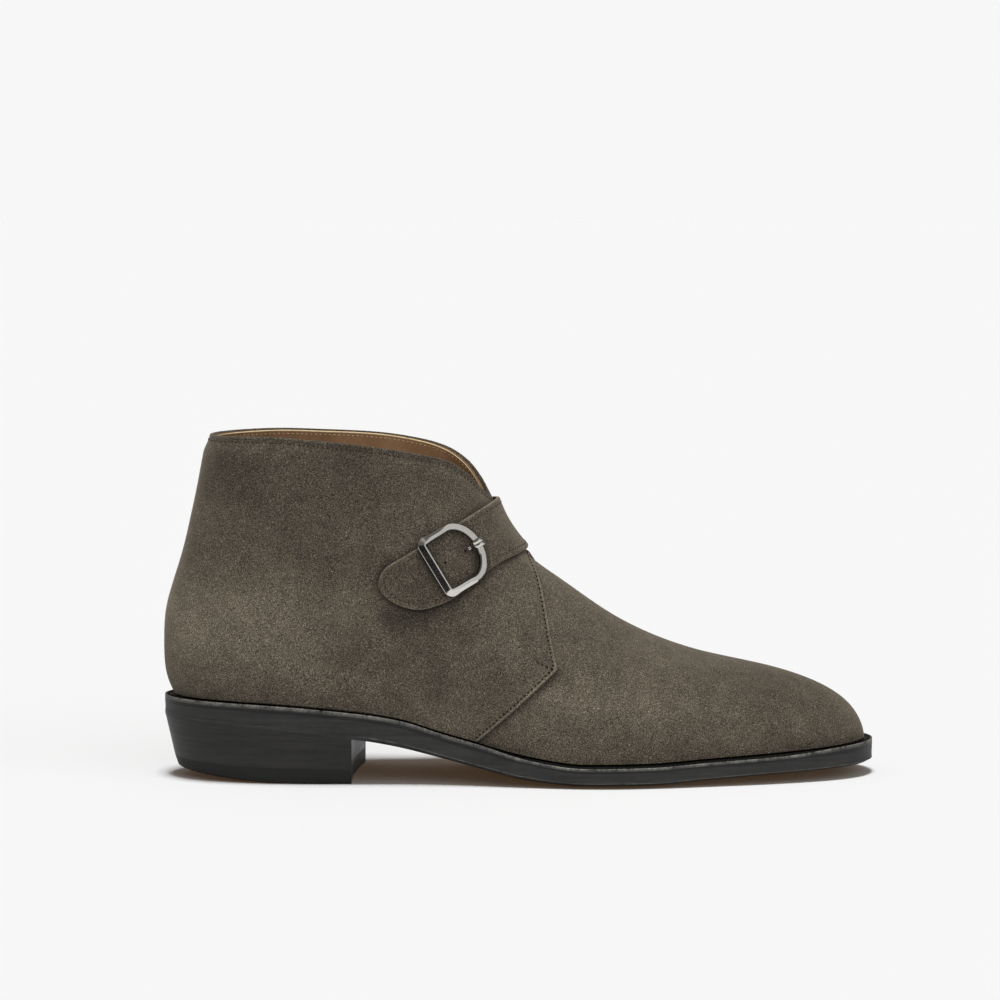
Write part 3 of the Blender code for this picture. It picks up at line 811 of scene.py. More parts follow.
def suede_material(name, dark, middle, light):
    """Brushed suede: a fine nap, soft clouds where the nap lies another way, and a tone by place that carries
    painted shade and light.
    """
    made, tree, shader = start_material(
        name, 0.95, Specular_IOR_Level=0.15, Sheen_Weight=0.2, Sheen_Roughness=0.5,
        Sheen_Tint=colour(196, 184, 164),
    )
    clouds = (16, 0.42, 3.0), (52, 0.29, 3.0), (170, 0.3, 2.0)
    grain = (620, 0.12, 2.0), (1900, 0.8, 0.0), (3000, 1.5, 0.0)
    share = math_node(tree, "SUBTRACT", mottle(tree, clouds + grain), tone_of(tree))
    share = math_node(tree, "ADD", 0.5 - NAP_RANGE / 2, math_node(tree, "MULTIPLY", share, NAP_RANGE))
    ends = colour(18, 16, 14), colour(132, 122, 108)
    tint = ramp(tree, share, ((0.0, ends[0]), (0.37, dark), (0.5, middle), (0.68, light), (1.0, ends[1])))
    tree.links.new(tint, shader.inputs["Base Color"])
    nap = mottle(tree, ((620, 0.6, 2.0), (1300, 1.0, 1.0), (2800, 0.8, 0.0)))
    add_bump(tree, shader, nap, 0.25, 0.5)
    return made


def plain_material(name, roughness, specular, clouds, stops, grain, strength, depth):
    """A surface clouded between its colour stops, with a fine bumpy grain."""
    made, tree, shader = start_material(name, roughness, Specular_IOR_Level=specular)
    tree.links.new(ramp(tree, mottle(tree, clouds), stops), shader.inputs["Base Color"])
    add_bump(tree, shader, mottle(tree, grain), strength, depth)
    return made


def thread_material(name, dark, light):
    stops = (0.2, dark), (0.8, light)
    return plain_material(name, 0.9, 0.05, ((900, 1.2, 1.0),), stops, ((2600, 1.0, 0.0),), 0.4, 0.1)


def tan_leather():
    """Smooth lining leather with pores and a little wear."""
    clouds = (22, 0.7, 3.0), (120, 0.4, 2.0), (900, 0.3, 1.0)
    stops = (0.2, colour(86, 62, 42)), (0.5, colour(112, 84, 60)), (0.8, colour(134, 106, 80))
    pores = (900, 1.0, 2.0), (2400, 0.5, 0.0)
    return plain_material("tan_leather", 0.5, 0.35, clouds, stops, pores, 0.25, 0.2)


def cream_edge():
    stops = (0.2, colour(180, 160, 124)), (0.8, colour(210, 192, 156))
    return plain_material("cream_edge", 0.55, 0.5, ((400, 1.0, 2.0),), stops, ((1400, 1.0, 0.0),), 0.3, 0.1)


def sole_black(name, dark, light, roughness, streak):
    """Dyed and burnished leather edge, with fine streaks along the sole and places made lighter by their
    tone: wear, and on the welt's edge also a painted highlight.
    """
    made, tree, shader = start_material(name, roughness, Specular_IOR_Level=0.25)
    clouds = mottle(tree, ((40, 0.5, 3.0), (300, 0.5, 2.0)))
    streaks = mottle(tree, ((700, 1.0, 2.0),), stretch=(0.06, 0.06, 1.0))
    half_clouds, half_streaks = (math_node(tree, "MULTIPLY", part, 0.5) for part in (clouds, streaks))
    share = math_node(tree, "ADD", half_clouds, half_streaks)
    nicks = mottle(tree, ((160, 1.6, 3.0), (900, 1.2, 1.0)))
    worn = math_node(tree, "MULTIPLY", tone_of(tree), nicks)
    tint = ramp(tree, share, ((0.3, dark), (0.7, light)))
    tree.links.new(mix(tree, worn, tint, colour(122, 120, 115)), shader.inputs["Base Color"])
    rough = math_node(tree, "ADD", roughness - 0.15, math_node(tree, "MULTIPLY", clouds, 0.3))
    tree.links.new(rough, shader.inputs["Roughness"])
    add_bump(tree, shader, share, streak, 0.3)
    return made


def polished_nickel():
    """Polished metal with faint rubbing marks, and dark sides where its tone paints shade."""
    made, tree, shader = start_material("nickel", 0.12, metallic=1.0)
    clouds = mottle(tree, ((120, 0.8, 2.0), (900, 0.5, 2.0)))
    tint = ramp(tree, clouds, ((0.2, colour(196, 193, 186)), (0.8, colour(226, 224, 218))))
    tree.links.new(mix(tree, tone_of(tree), tint, colour(44, 43, 41)), shader.inputs["Base Color"])
    tree.links.new(math_node(tree, "MULTIPLY", clouds, 0.2), shader.inputs["Roughness"])
    return made


class Finish:
    """The boot's materials."""

    suede = suede_material("suede", colour(49, 44.5, 39), colour(65.5, 59.5, 51), colour(88, 81, 69.5))
    edge = suede_material("suede_edge", colour(40, 36, 30), colour(56, 51, 44), colour(84, 77, 67))
    thread = thread_material("dark_thread", colour(16, 14, 12), colour(28, 24, 21))
    soft_thread = thread_material("soft_thread", colour(34, 30, 26), colour(50, 45, 39))
    cream_thread = thread_material("cream_thread", colour(150, 132, 98), colour(186, 168, 130))
    # Black thread, also used as the painted shade inside the strap's holes
    black_thread_and_hole_shade = thread_material("black_thread_and_hole_shade", colour(12, 12, 12), colour(28, 27, 26))
    lining = tan_leather()
    cream = cream_edge()
    welt = sole_black("welt_black", colour(16, 16, 16), colour(31, 31, 30), 0.45, 0.25)
    sole = sole_black("sole_black", colour(25, 25, 25), colour(46, 46, 45), 0.5, 0.3)
    heel = sole_black("heel_black", colour(20, 20, 19), colour(36, 35, 34), 0.45, 0.25)
    rubber = sole_black("rubber", colour(15, 15, 14), colour(27, 27, 26), 0.6, 0.2)
    metal = polished_nickel()


# The upper

VAMP_LEVELS = 96
VAMP_COLUMNS = 300
LINING_LEVELS = 60
LINING_COLUMNS = 240


def full_round(levels, columns, offset):
    level = np.linspace(0, 1, levels)[:, None]
    angle = round_angles(columns)[None, :]
    return above_upper(level, angle, offset + 0 * level * angle)


def seam_shade(points):
    """Shade on the vamp beside the thick lower part of the quarters' front edges."""
    levels = np.linspace(QUARTER_LOW_LEVEL, 1, SHADE_SAMPLES)
    front = seam_angle(levels)
    edge = np.concatenate([upper_point(levels, front), upper_point(levels, -front)])
    edge = edge[edge[:, 2] < SEAM["height"][SEAM_CORNER]]
    return SEAM_SHADE * bell(distance_to(edge, points), SEAM_SHADE_REACH)


def build_vamp():
    """The suede body of the upper, seen in front of the quarters, and its lining."""
    outer = full_round(VAMP_LEVELS, VAMP_COLUMNS, 0.0)
    inner = full_round(VAMP_LEVELS, VAMP_COLUMNS, -SUEDE_WALL)
    tone = painted_light_and_nap(outer) + seam_shade(outer)
    add_shell("vamp", outer, inner, Finish.suede, ("upper",), tone, closed=True)
    outer = full_round(LINING_LEVELS, LINING_COLUMNS, -SUEDE_WALL - LINING_GAP)
    inner = full_round(LINING_LEVELS, LINING_COLUMNS, -UPPER_WALL)
    add_shell("lining", outer, inner, Finish.lining, ("upper",), closed=True)


def seam_station(height):
    """Station of the quarters' front edge: straight up to its corner, then a soft curve to the ridge."""
    corner, top = SEAM["height"][SEAM_CORNER], SEAM["height"][-1]
    straight = np.interp(height, SEAM["height"], SEAM["station"])
    return np.where(height < corner, straight, SEAM_CURVE(np.clip(height, corner, top)))


def seam_angle(levels):
    """Angle of the quarters' front edge at each level."""

    def past_seam(angle):
        point = upper_point(levels, angle)
        return point[..., 0] - seam_station(point[..., 2])

    low = np.zeros(len(levels)) + BACK_SEAM_HALF_ANGLE
    return solve(past_seam, low, low * 0 + math.pi - THROAT_HALF_ANGLE)


QUARTER_ROWS = (44, 60, 40)
TOP_BAND = 0.03
TOP_ROWS = 16
EDGE_BAND = 4.6
EDGE_STEP = 0.23
QUARTER_COLUMNS = 76


def seam_top():
    """Level at which the quarters' front edges meet at the ridge."""
    return solve(lambda at: RING_CURVES["front_z"](at) - SEAM["height"][-1], 0.0, 1.0)


def quarter_grid():
    """Levels and angles of a quarter: columns run close together along its front edge."""
    corner, _ = place_on_side(SEAM["station"][SEAM_CORNER], SEAM["height"][SEAM_CORNER])
    ridge = seam_top()
    low, middle, high = (np.linspace(0, 1, count + 1)[:-1] for count in QUARTER_ROWS)
    levels = np.concatenate([
        between(QUARTER_LOW_LEVEL, corner, low),
        between(corner, ridge, middle),
        between(ridge, 1 - TOP_BAND, high),
        np.linspace(1 - TOP_BAND, 1, TOP_ROWS),
    ])
    front = seam_angle(levels)
    speed = np.linalg.norm(face_directions(levels, front)[1], axis=-1)
    rest = np.linspace(0, 1, QUARTER_COLUMNS)[:-1]
    band = np.arange(EDGE_BAND, -EDGE_STEP / 2, -EDGE_STEP)
    inner_end = front - EDGE_BAND / speed
    body = between(BACK_SEAM_HALF_ANGLE, inner_end[:, None], rest[None, :])
    edge = front[:, None] - band[None, :] / speed[:, None]
    angles = np.concatenate([body, edge], axis=1)
    return levels[:, None] + 0 * angles, angles


def cut_edge(distance, thickness, rows=()):
    """Height of a thin leather piece above its base: rounded at its cut edge, pulled in at its stitches."""
    share = np.clip(distance / CUT_ROUNDING, 0, 1)
    height = thickness * (1 - CUT_THINNING * (1 - np.sqrt(1 - (1 - share) ** 2)))
    for row in rows:
        height = height - GROOVE_DEPTH * bell(distance - row, GROOVE_WIDTH)
    return height


def edge_highlight(distance):
    """Painted highlight on the thin cut edge: how much lighter it is."""
    return -CUT_HIGHLIGHT * bell(distance, CUT_HIGHLIGHT_WIDTH)


def seam_shadow_and_highlight(distance):
    """A quarter's front edge: a painted shadow line, then a painted highlight."""
    return edge_highlight(distance - SEAM_HIGHLIGHT_INSET) + SEAM_SHADOW_LINE * bell(distance, SEAM_SHADOW_WIDTH)


def skive(distance, height):
    """Share of the thickness left near a quarter's front edge, which is thinned above its corner."""
    above = smooth((height - SKIVE_HEIGHTS[0]) / (SKIVE_HEIGHTS[1] - SKIVE_HEIGHTS[0]))
    return 1 - (1 - SKIVE_LEFT) * above * (1 - smooth(distance / SKIVE_REACH))


def collar_skive(distance):
    """Share of a quarter's thickness left near the collar."""
    return between(COLLAR_LEFT, 1, smooth(distance / COLLAR_REACH))


def stitch_row(name, level, angle, left, finish=Finish.thread, radius=SEAM_THREAD, sunk=GROOVE_DEPTH):
    """Dark stitches drawn into the face of a quarter, where a share of its thickness is left."""
    face = QUARTER_INNER + (QUARTER_OUTER - QUARTER_INNER - sunk) * left
    points = above_upper(level, angle, face + STITCH_RISE)
    add_stitches(name, points, upper_normal(level, angle), finish, radius=radius)


def build_quarter(name, node, mirror):
    """A quarter over the vamp with its seam; mirror is 1 on the outer side and -1 on the inner."""
    levels, angles = quarter_grid()
    fine = np.linspace(QUARTER_LOW_LEVEL, 1, EDGE_SAMPLES)
    edge_points = upper_point(fine, mirror * seam_angle(fine))
    collar_points = upper_point(1, mirror * np.linspace(0, math.pi, SHADE_SAMPLES))
    base = upper_point(levels, mirror * angles)
    from_edge = distance_to(edge_points, base)
    from_collar = distance_to(collar_points, base)
    height = cut_edge(from_edge, QUARTER_OUTER - QUARTER_INNER, (SEAM_ROW, SEAM_CREASE))
    height = height * skive(from_edge, base[..., 2]) * collar_skive(from_collar)
    outer = above_upper(levels, mirror * angles, QUARTER_INNER + height)
    inner = above_upper(levels, mirror * angles, QUARTER_INNER + 0 * angles)
    beside = distance_to(upper_point(*strap_outline().T), base)
    tone = painted_light_and_nap(base) + seam_shadow_and_highlight(from_edge) + strap_shade(base)
    tone = tone + CONTACT_SHADE * bell(beside, CONTACT_REACH)
    tone = tone + COLLAR_SHADE * np.exp(-((from_collar / COLLAR_ROW) ** 4))
    if mirror < 0:
        outer, inner, tone = outer[:, ::-1], inner[:, ::-1], tone[:, ::-1]
    add_shell(name, outer, inner, Finish.suede, (node,), tone)
    stitch_quarter(name, mirror)


def stitch_quarter(name, mirror):
    """The stitches along a quarter's front edge and the short tack behind its corner."""
    fine = np.linspace(QUARTER_LOW_LEVEL, seam_top(), EDGE_SAMPLES)
    level, angle = inset_path(fine, mirror * seam_angle(fine), SEAM_ROW, mirror)
    stitch_row(f"{name}_seam", level, angle, skive(SEAM_ROW, upper_point(level, angle)[..., 2]))
    share = np.linspace(0, 1, TACK_SAMPLES)
    behind = between(SEAM_ROW, TACK_LENGTH, share)
    corner_station, corner_height = SEAM["station"][SEAM_CORNER], SEAM["height"][SEAM_CORNER]
    level, angle = place_on_side(corner_station - behind, corner_height + TACK_RISE * share)
    left = skive(behind, upper_point(level, angle)[..., 2])
    stitch_row(f"{name}_tack", level, mirror * angle, left, sunk=0)


COLLAR_COLUMNS = 420
COLLAR_SAMPLES = 1600
FOLD_POINTS = 9
CREAM_SIDES = 10


def build_collar():
    """The folded top edge, the cream edge of the lining inside it and the stitches below both."""
    angle = round_angles(COLLAR_COLUMNS)
    level = np.ones_like(angle)
    points = above_upper(level, angle, 0 * angle)
    normal = upper_normal(level, angle)
    up, round_ = face_directions(level, angle)
    rise = unit(np.cross(normal, round_))
    rise = rise * np.sign(np.sum(rise * up, axis=-1, keepdims=True))
    outside = between(QUARTER_INNER, QUARTER_OUTER, COLLAR_LEFT) + FOLD_PROUD
    inside = -FOLD_INSIDE
    turn = np.linspace(0, math.pi, FOLD_POINTS)
    middle, half = (outside + inside) / 2, (outside - inside) / 2
    section = [(outside - FOLD_TUCK, -FOLD_SKIRT), (outside, FOLD_LIP - FOLD_SKIRT)]
    section += [(middle + half * math.cos(t), FOLD_RISE * math.sin(t)) for t in turn]
    section += [(inside, -FOLD_DEPTH), (outside - FOLD_WALL, -FOLD_DEPTH)]
    rings = np.stack([points + out * normal + high * rise for out, high in section], axis=1)
    add_tube("collar_fold", rings, Finish.edge, closed=True)

    centre = points - CREAM_INSET * normal + CREAM_RISE * rise
    turn = round_angles(CREAM_SIDES)
    rings = [centre + CREAM_RADIUS * (math.cos(t) * normal + math.sin(t) * rise) for t in turn]
    add_tube("lining_edge", np.stack(rings, axis=1), Finish.cream, closed=True)

    angle = np.linspace(0, 2 * math.pi, COLLAR_SAMPLES)
    level, angle = inset_path(np.ones_like(angle), angle, COLLAR_ROW, -1)
    normal = upper_normal(level, angle)
    left = collar_skive(COLLAR_ROW + 0 * level)
    stitch_row("collar_stitches", level, angle, left, Finish.soft_thread, FINE_THREAD)
    inner = above_upper(level, angle, -UPPER_WALL + 0 * angle)
    add_stitches("lining_stitches", inner, -normal, Finish.cream_thread)


# The strap and its buckle

STRAP_TIP_ROWS = 40
STRAP_ROWS = 190
STRAP_COLUMNS = 52
TIP_TURN = 0.06
OUTLINE_STEP = 0.004


def strap_edge_height(station, across):
    """Height at a share across the strap, 0 at its lower edge and 1 at its upper one."""
    return between(STRAP_LOWER(station), STRAP_UPPER(station), across)


def strap_rows():
    """Angle, share of the full width and lift of each row across the strap, from the tip on."""
    near, far = STRAP_EDGES["station"][1:3]
    rise = strap_edge_height(far, 0.5) - strap_edge_height(near, 0.5)
    run = (far - near) / math.hypot(far - near, rise)
    turn = np.linspace(TIP_TURN, math.pi / 2, STRAP_TIP_ROWS)
    distance = STRAP_TIP_RADIUS * (1 - np.cos(turn))
    stations = STRAP_TIP_STATION + run * distance
    tip_angles = place_on_side(stations, strap_edge_height(stations, 0.5))[1]
    root = place_on_side(STRAP_ROOT_STATION, strap_edge_height(STRAP_ROOT_STATION, 0.5))[1]
    rest = np.linspace(tip_angles[-1], 2 * math.pi - root, STRAP_ROWS)[1:]
    angles = np.concatenate([tip_angles, rest])
    widths = np.concatenate([np.sin(turn), np.ones(len(rest))])
    step = (stations[-1] - STRAP_TIP_STATION) / run
    reach = np.concatenate([distance, step + (rest - tip_angles[-1]) * INSTEP_RADIUS])
    lift = STRAP_LIFT * np.clip(1 - reach / STRAP_LIFT_LENGTH, 0, 1) ** 2
    return angles, widths, lift


def strap_places(angles, across):
    """Levels where the strap's shares across lie at these angles."""

    def over_edge(level):
        point = upper_point(level, angles)
        return point[..., 2] - strap_edge_height(point[..., 0], across)

    return solve(over_edge, 0 * angles, 0 * angles + 1)


def strap_outline():
    """Levels and angles along the strap's edge, from its root round the tip and back."""
    rows, widths, _ = strap_rows()
    lower, upper = strap_places(rows, 0.5 - widths / 2), strap_places(rows, 0.5 + widths / 2)
    edge = stack(np.concatenate([lower[::-1], upper]), np.concatenate([rows[::-1], rows]))
    return resample(edge, OUTLINE_STEP)


def build_strap():
    """The strap over the instep, from its root on the inner side to the tip on the outer one."""
    rows, widths, lift = strap_rows()
    shares = 0.5 * np.sin(np.linspace(-math.pi / 2, math.pi / 2, STRAP_COLUMNS))
    angles = rows[:, None] + 0 * shares[None, :]
    levels = strap_places(angles, 0.5 + widths[:, None] * shares[None, :])
    outline = strap_outline()
    outline_points = upper_point(outline[:, 0], outline[:, 1])
    from_edge = distance_to(outline_points, upper_point(levels, angles))
    base = STRAP_BASE + lift[:, None] + 0 * angles
    outer = above_upper(levels, angles, base + cut_edge(from_edge, STRAP_THICKNESS, (STRAP_ROW,)))
    inner = above_upper(levels, angles, base)
    frame_line = to_boot(np.pad(buckle_path()[0], ((0, 0), (0, 1))))
    shade = BUCKLE_SHADE * bell(distance_to(frame_line, outer), BUCKLE_SHADE_REACH)
    tone = painted_light_and_nap(outer) + edge_highlight(from_edge) + shade
    add_shell("strap", outer[:, ::-1], inner[:, ::-1], Finish.suede, ("strap",), tone[:, ::-1])

    level, angle = inset_path(outline[:, 0], outline[:, 1], STRAP_ROW, -1)
    raised = STRAP_BASE + np.interp(angle, rows, lift) + STRAP_THICKNESS - GROOVE_DEPTH + STITCH_RISE
    points = above_upper(level, angle, raised)
    add_stitches("strap_stitches", points, upper_normal(level, angle), Finish.soft_thread)


def buckle_axes():
    """The buckle's middle and directions: along the strap, across it and out of the boot."""
    ahead = BUCKLE_STATION + np.array([-1.0, 0.0, 1.0])
    levels, angles = place_on_side(ahead, strap_edge_height(ahead, 0.5) + BUCKLE_RAISE)
    points = upper_point(levels, angles) + BUCKLE_CLEAR * upper_normal(levels, angles)
    along = Vector(points[2] - points[0]).normalized()
    out = Vector(upper_normal(levels, angles)[1])
    up = out.cross(along).normalized()
    turn = Matrix.Rotation(math.radians(BUCKLE_TURN), 3, "Z")
    axes = Matrix((along, up, along.cross(up))).transposed() @ turn
    return points[1], np.array(axes)


def to_boot(local):
    """Points in the buckle's own directions, moved to the boot."""
    middle, axes = buckle_axes()
    return middle + np.asarray(local) @ axes.T


ARC_POINTS = 73
CORNER_POINTS = 14
BAR_POINTS = 12
SIDE_POINTS = 10


def buckle_path():
    """Middle line of the D with its outward direction: rear bar, sides and a round front."""
    back, half = BUCKLE_LENGTH / 2 - BUCKLE_BAR / 2, BUCKLE_WIDTH / 2 - BUCKLE_BAND / 2
    reach = BUCKLE_LENGTH / 2 - BUCKLE_BAND / 2 - BUCKLE_SHOULDER
    turn = np.linspace(-math.pi / 2, math.pi / 2, ARC_POINTS)
    arc = stack(BUCKLE_SHOULDER + reach * np.cos(turn), half * np.sin(turn))
    corner = np.linspace(math.pi / 2, math.pi, CORNER_POINTS)
    upper = stack(np.cos(corner), np.sin(corner)) * BUCKLE_CORNER
    upper = upper + (BUCKLE_CORNER - back, half - BUCKLE_CORNER)
    bar_y = np.linspace(half - BUCKLE_CORNER, BUCKLE_CORNER - half, BAR_POINTS + 2)[1:-1]
    bar = stack(0 * bar_y - back, bar_y)
    side_x = np.linspace(BUCKLE_SHOULDER, BUCKLE_CORNER - back, SIDE_POINTS + 2)[1:-1]
    side = stack(side_x, 0 * side_x + half)
    mirror = np.array([1, -1])
    path = np.concatenate([arc, side, upper, bar, (upper * mirror)[::-1], (side * mirror)[::-1]])
    ahead = np.roll(path, -1, axis=0) - np.roll(path, 1, axis=0)
    out = unit(stack(ahead[:, 1], -ahead[:, 0]))
    return path, out


# Slope of the frame's outer face at its front, upper and lower side and rear bar: width and drop
BUCKLE_SLOPES = table("width drop", ((0.45, 0.35), (1.6, 1.1), (1.5, 0.5), (2.7, 0.65)))
SLOPE_CHANGE = 6.0
INNER_STEEPNESS = 0.8
BUCKLE_CREASE = 12


def build_buckle():
    """The D of the buckle: flat in front, sloping outwards at its sides and at its rear bar."""
    path, out = buckle_path()
    rear = smooth((-path[:, 0] - BUCKLE_LENGTH / 2 + 2 * BUCKLE_BAR) / BUCKLE_BAR)
    side = smooth((BUCKLE_SHOULDER - path[:, 0]) / SLOPE_CHANGE + 0.5)
    row = np.where(path[:, 1] > 0, 1, 2)
    half = between(BUCKLE_BAND, BUCKLE_BAR, rear) / 2
    slope, drop = (
        between(between(part[0], part[row], side), part[3], rear) for part in BUCKLE_SLOPES.values()
    )
    top = np.full(len(path), BUCKLE_THICKNESS)
    edge = np.full(len(path), BUCKLE_EDGE)
    inner = between(BUCKLE_INNER_EDGE, BUCKLE_EDGE, side)
    section = (
        (half, 0 * top), (half, top - drop - edge), (half - edge, top - drop), (half - slope, top),
        (inner - half, top), (-half, top - inner * INNER_STEEPNESS), (-half, 0 * top),
    )
    rings = [np.concatenate([path + out * at[:, None], height[:, None]], axis=1) for at, height in section]
    rings = to_boot(np.stack(rings, axis=1))
    # Painted shade: the frame's side walls are coloured dark, its top faces keep the metal's colour
    tone = np.tile((1.0, 1.0, 0.0, 0.0, 0.0, 1.0, 1.0), len(path))
    add_tube(
        "buckle_frame_polished", rings, Finish.metal, ("buckle_frame",),
        closed=True, crease=BUCKLE_CREASE, tone=tone,
    )
    build_prong()


PRONG_POINTS = 60
PRONG_SIDES = 32
PRONG_STUB = 0.4
PRONG_SPREAD = 1.2
PRONG_END = 0.4
PRONG_END_LEFT = 0.12
PRONG_GROOVE = 0.45
PRONG_GROOVE_WIDTH = 0.22
PRONG_CREASE = 50


def build_prong():
    """The prong: a thin stub out of the strap, then wide with two ridges over the curved bar."""
    front, inside = BUCKLE_LENGTH / 2, BUCKLE_LENGTH / 2 - BUCKLE_BAND
    bar_top = BUCKLE_THICKNESS + PRONG_FLAT
    strap_top = STRAP_BASE + STRAP_THICKNESS - BUCKLE_CLEAR
    route = np.array((
        (inside - 2.4, strap_top - 0.3),
        (inside - 1.3, strap_top + 0.8),
        (inside - 0.2, bar_top - 0.4),
        (inside + 0.8, bar_top),
        (front - 0.7, bar_top),
        (front + 0.1, bar_top - 0.6),
    ))
    knots = path_length(route)
    at = np.linspace(0, knots[-1], PRONG_POINTS)
    x, z = (natural_spline(knots, column)(at) for column in route.T)
    path = stack(x, 0 * x, z)
    ahead = unit(np.gradient(path, axis=0))
    side = np.array([0.0, 1.0, 0.0])
    out = np.cross(ahead, side)
    wide = between(PRONG_STUB, 1, smooth((x - inside) / PRONG_SPREAD + 1))
    end = np.sqrt(np.clip((knots[-1] - at) / PRONG_END, PRONG_END_LEFT, 1))
    turn = round_angles(PRONG_SIDES)
    groove = 1 - PRONG_GROOVE * bell(np.cos(turn), PRONG_GROOVE_WIDTH)
    across = side * np.cos(turn)[:, None] * PRONG_HALF_WIDTH
    spread = across + out[:, None, :] * (np.sin(turn) * groove * PRONG_FLAT)[:, None]
    rings = to_boot(path[:, None] + (wide * end)[:, None, None] * spread)
    add_tube("buckle_prong_polished", rings, Finish.metal, ("buckle_prong",), crease=PRONG_CREASE)


def build_strap_holes():
    """The punched holes in the middle of the strap, inside the buckle: thin black discs that paint the shade
    inside each hole.
    """
    rows, _, lift = strap_rows()
    turn = round_angles(HOLE_SIDES)
    for index, along in enumerate(STRAP_HOLES):
        target = to_boot([(along, 0.0, 0.0)])
        level, angle = settle(target, *place_on_side(target[:, 0], target[:, 2]))
        middle = above_upper(level, angle, STRAP_BASE + STRAP_THICKNESS + np.interp(angle, rows, lift))[0]
        normal, first = upper_normal(level, angle)[0], unit(face_directions(level, angle)[1])[0]
        circle = first * np.cos(turn)[:, None] + np.cross(normal, first) * np.sin(turn)[:, None]
        rings = [middle + radius * HOLE_RADIUS * circle + height * normal for radius, height in HOLE_SECTION]
        add_tube(f"strap_hole_{index}", np.array(rings), Finish.black_thread_and_hole_shade)


# The sole and the heel

SOLE_COLUMNS = 400
SOLE_BEVEL = 2.2
BEVEL_SHARE = 0.2
BEVEL_WEAR = 0.5
BEVEL_RUN = 8.0
BEVEL_ROWS = 6
SIDE_ROWS = 10
SIDE_STEP = 0.06
CROWN_HALFWAY = 1 / 3


def sole_ring(inset, height, end_inset=None):
    """The sole's outline at an inset, at the height that a function of the station gives."""
    end_inset = inset if end_inset is None else end_inset
    station, y = sole_outline(round_angles(SOLE_COLUMNS), inset, end_inset)
    return stack(station, y, height(station))


def sole_crown(station):
    """How far the sole's rim stands above its middle; nothing over the heel."""
    return SOLE_CROWN * smooth((station - CROWN_START) / CROWN_LENGTH)


def build_outsole():
    """The sole under the welt, flush with it and with the heel, its lower edge bevelled before the heel."""
    station, _ = sole_outline(round_angles(SOLE_COLUMNS), 0, 0)
    free = smooth((station - HEEL_LENGTH) / BEVEL_RUN)

    def side(share):
        def height(x):
            return between(SOLE_BOTTOM(x) + sole_crown(x), SOLE_TOP(x) - WELT_THICKNESS - TIGHT, share)

        return height

    def halfway(x):
        return SOLE_BOTTOM(x) + sole_crown(x) * CROWN_HALFWAY

    rings = [sole_ring(CROWN_WIDTH, SOLE_BOTTOM), sole_ring(CROWN_WIDTH / 2, halfway)]
    worn = [0.0, 0.0]
    for share in np.linspace(0, 1, BEVEL_ROWS):
        tuck = between(SIDE_TUCK, SOLE_BEVEL, free) * (1 - share)
        rings.append(sole_ring(tuck, side(BEVEL_SHARE * share)))
        worn.append(BEVEL_WEAR * (share == 1))
    for share in np.linspace(BEVEL_SHARE + SIDE_STEP, 1, SIDE_ROWS):
        rings.append(sole_ring(SIDE_TUCK * math.sin(math.pi * share), side(share)))
        worn.append(0.0)
    add_plate("outsole_edge", rings, Finish.sole, ("outsole",), tone=np.outer(worn, free))


WELT_BEVEL = 0.3
CREVICE = 0.6
LIP_DROP = 1.1
LIP_START = 130.0
LIP_LENGTH = 30.0
LIP_END = 12.0
WELT_SAMPLES = 2400
STITCH_LIP = 0.65


def lip_drop(station):
    """How far the welt's outer edge lies below its root along the sides of the forepart."""
    ahead, left = (station - LIP_START) / LIP_LENGTH, (SOLE_LENGTH - LIP_END - station) / LIP_LENGTH
    return LIP_DROP * smooth(ahead) * smooth(left)


def build_welt():
    """The strip between upper and outsole with a crisp edge painted lighter as wear and as a highlight, and
    the stitches along its top.
    """

    def height(below, lip):
        return lambda x: SOLE_TOP(x) - below - lip * lip_drop(x)

    # The wear column paints the welt's outer edge lighter: wear and a painted highlight
    loop = table(
        "inset below lip wear",
        (
            (WELT_WIDTH, WELT_THICKNESS, 0.0, 0.0),
            (0.0, WELT_THICKNESS, 0.0, 0.0),
            (0.0, WELT_THICKNESS * 0.6, 0.5, 0.0),
            (0.0, WELT_BEVEL * 4, 0.9, 0.35),
            (0.0, WELT_BEVEL, 1.0, 0.7),
            (WELT_BEVEL / 3, WELT_BEVEL / 3, 1.0, 1.2),
            (WELT_BEVEL, 0.0, 1.0, 1.1),
            (WELT_BEVEL * 2, 0.1, 1.0, 0.0),
            (WELT_SHOWS - 0.8, CREVICE / 2, 0.3, 0.0),
            (WELT_SHOWS, CREVICE, 0.0, 0.0),
            (WELT_WIDTH, CREVICE, 0.0, 0.0),
        ),
    )
    points = np.array([sole_ring(inset, height(below, lip)) for inset, below, lip, _ in zip(*loop.values())])
    worn = np.repeat(loop["wear"], SOLE_COLUMNS)
    faces = grid_faces(len(points), SOLE_COLUMNS, rows_closed=True, columns_closed=True)
    add_piece("welt_strip", points, faces, Finish.welt, ("welt",), worn)

    angle = np.linspace(0, 2 * math.pi, WELT_SAMPLES)
    station, y = sole_outline(angle, WELT_SHOWS / 2, WELT_SHOWS / 2)
    path = stack(station, y, height(CREVICE / 4, STITCH_LIP)(station))
    up = np.tile((0.0, 0.0, 1.0), (len(path), 1))
    add_stitches(
        "welt_stitches", path, up, Finish.black_thread_and_hole_shade, pitch=3.3, length=2.3, radius=0.3
    )


def build_insole():
    """The sock over the insole board, crowned a little towards its middle."""

    def height(share):
        return lambda x: SOLE_TOP(x) + GAP + INSOLE_THICKNESS * share

    rings = [sole_ring(INSOLE_INSET, height(0), INSOLE_END_INSET)]
    for inset, share in ((0.0, 0.75), (0.35, 0.93), (1.0, 1.0), (8.0, 1.08)):
        rings.append(sole_ring(INSOLE_INSET + inset, height(share), INSOLE_END_INSET + inset))
    add_plate("insole_sock", rings, Finish.lining, ("insole",))


HEEL_COLUMNS = 90
BREAST_COLUMNS = 40
BREAST_WEAR = 0.42


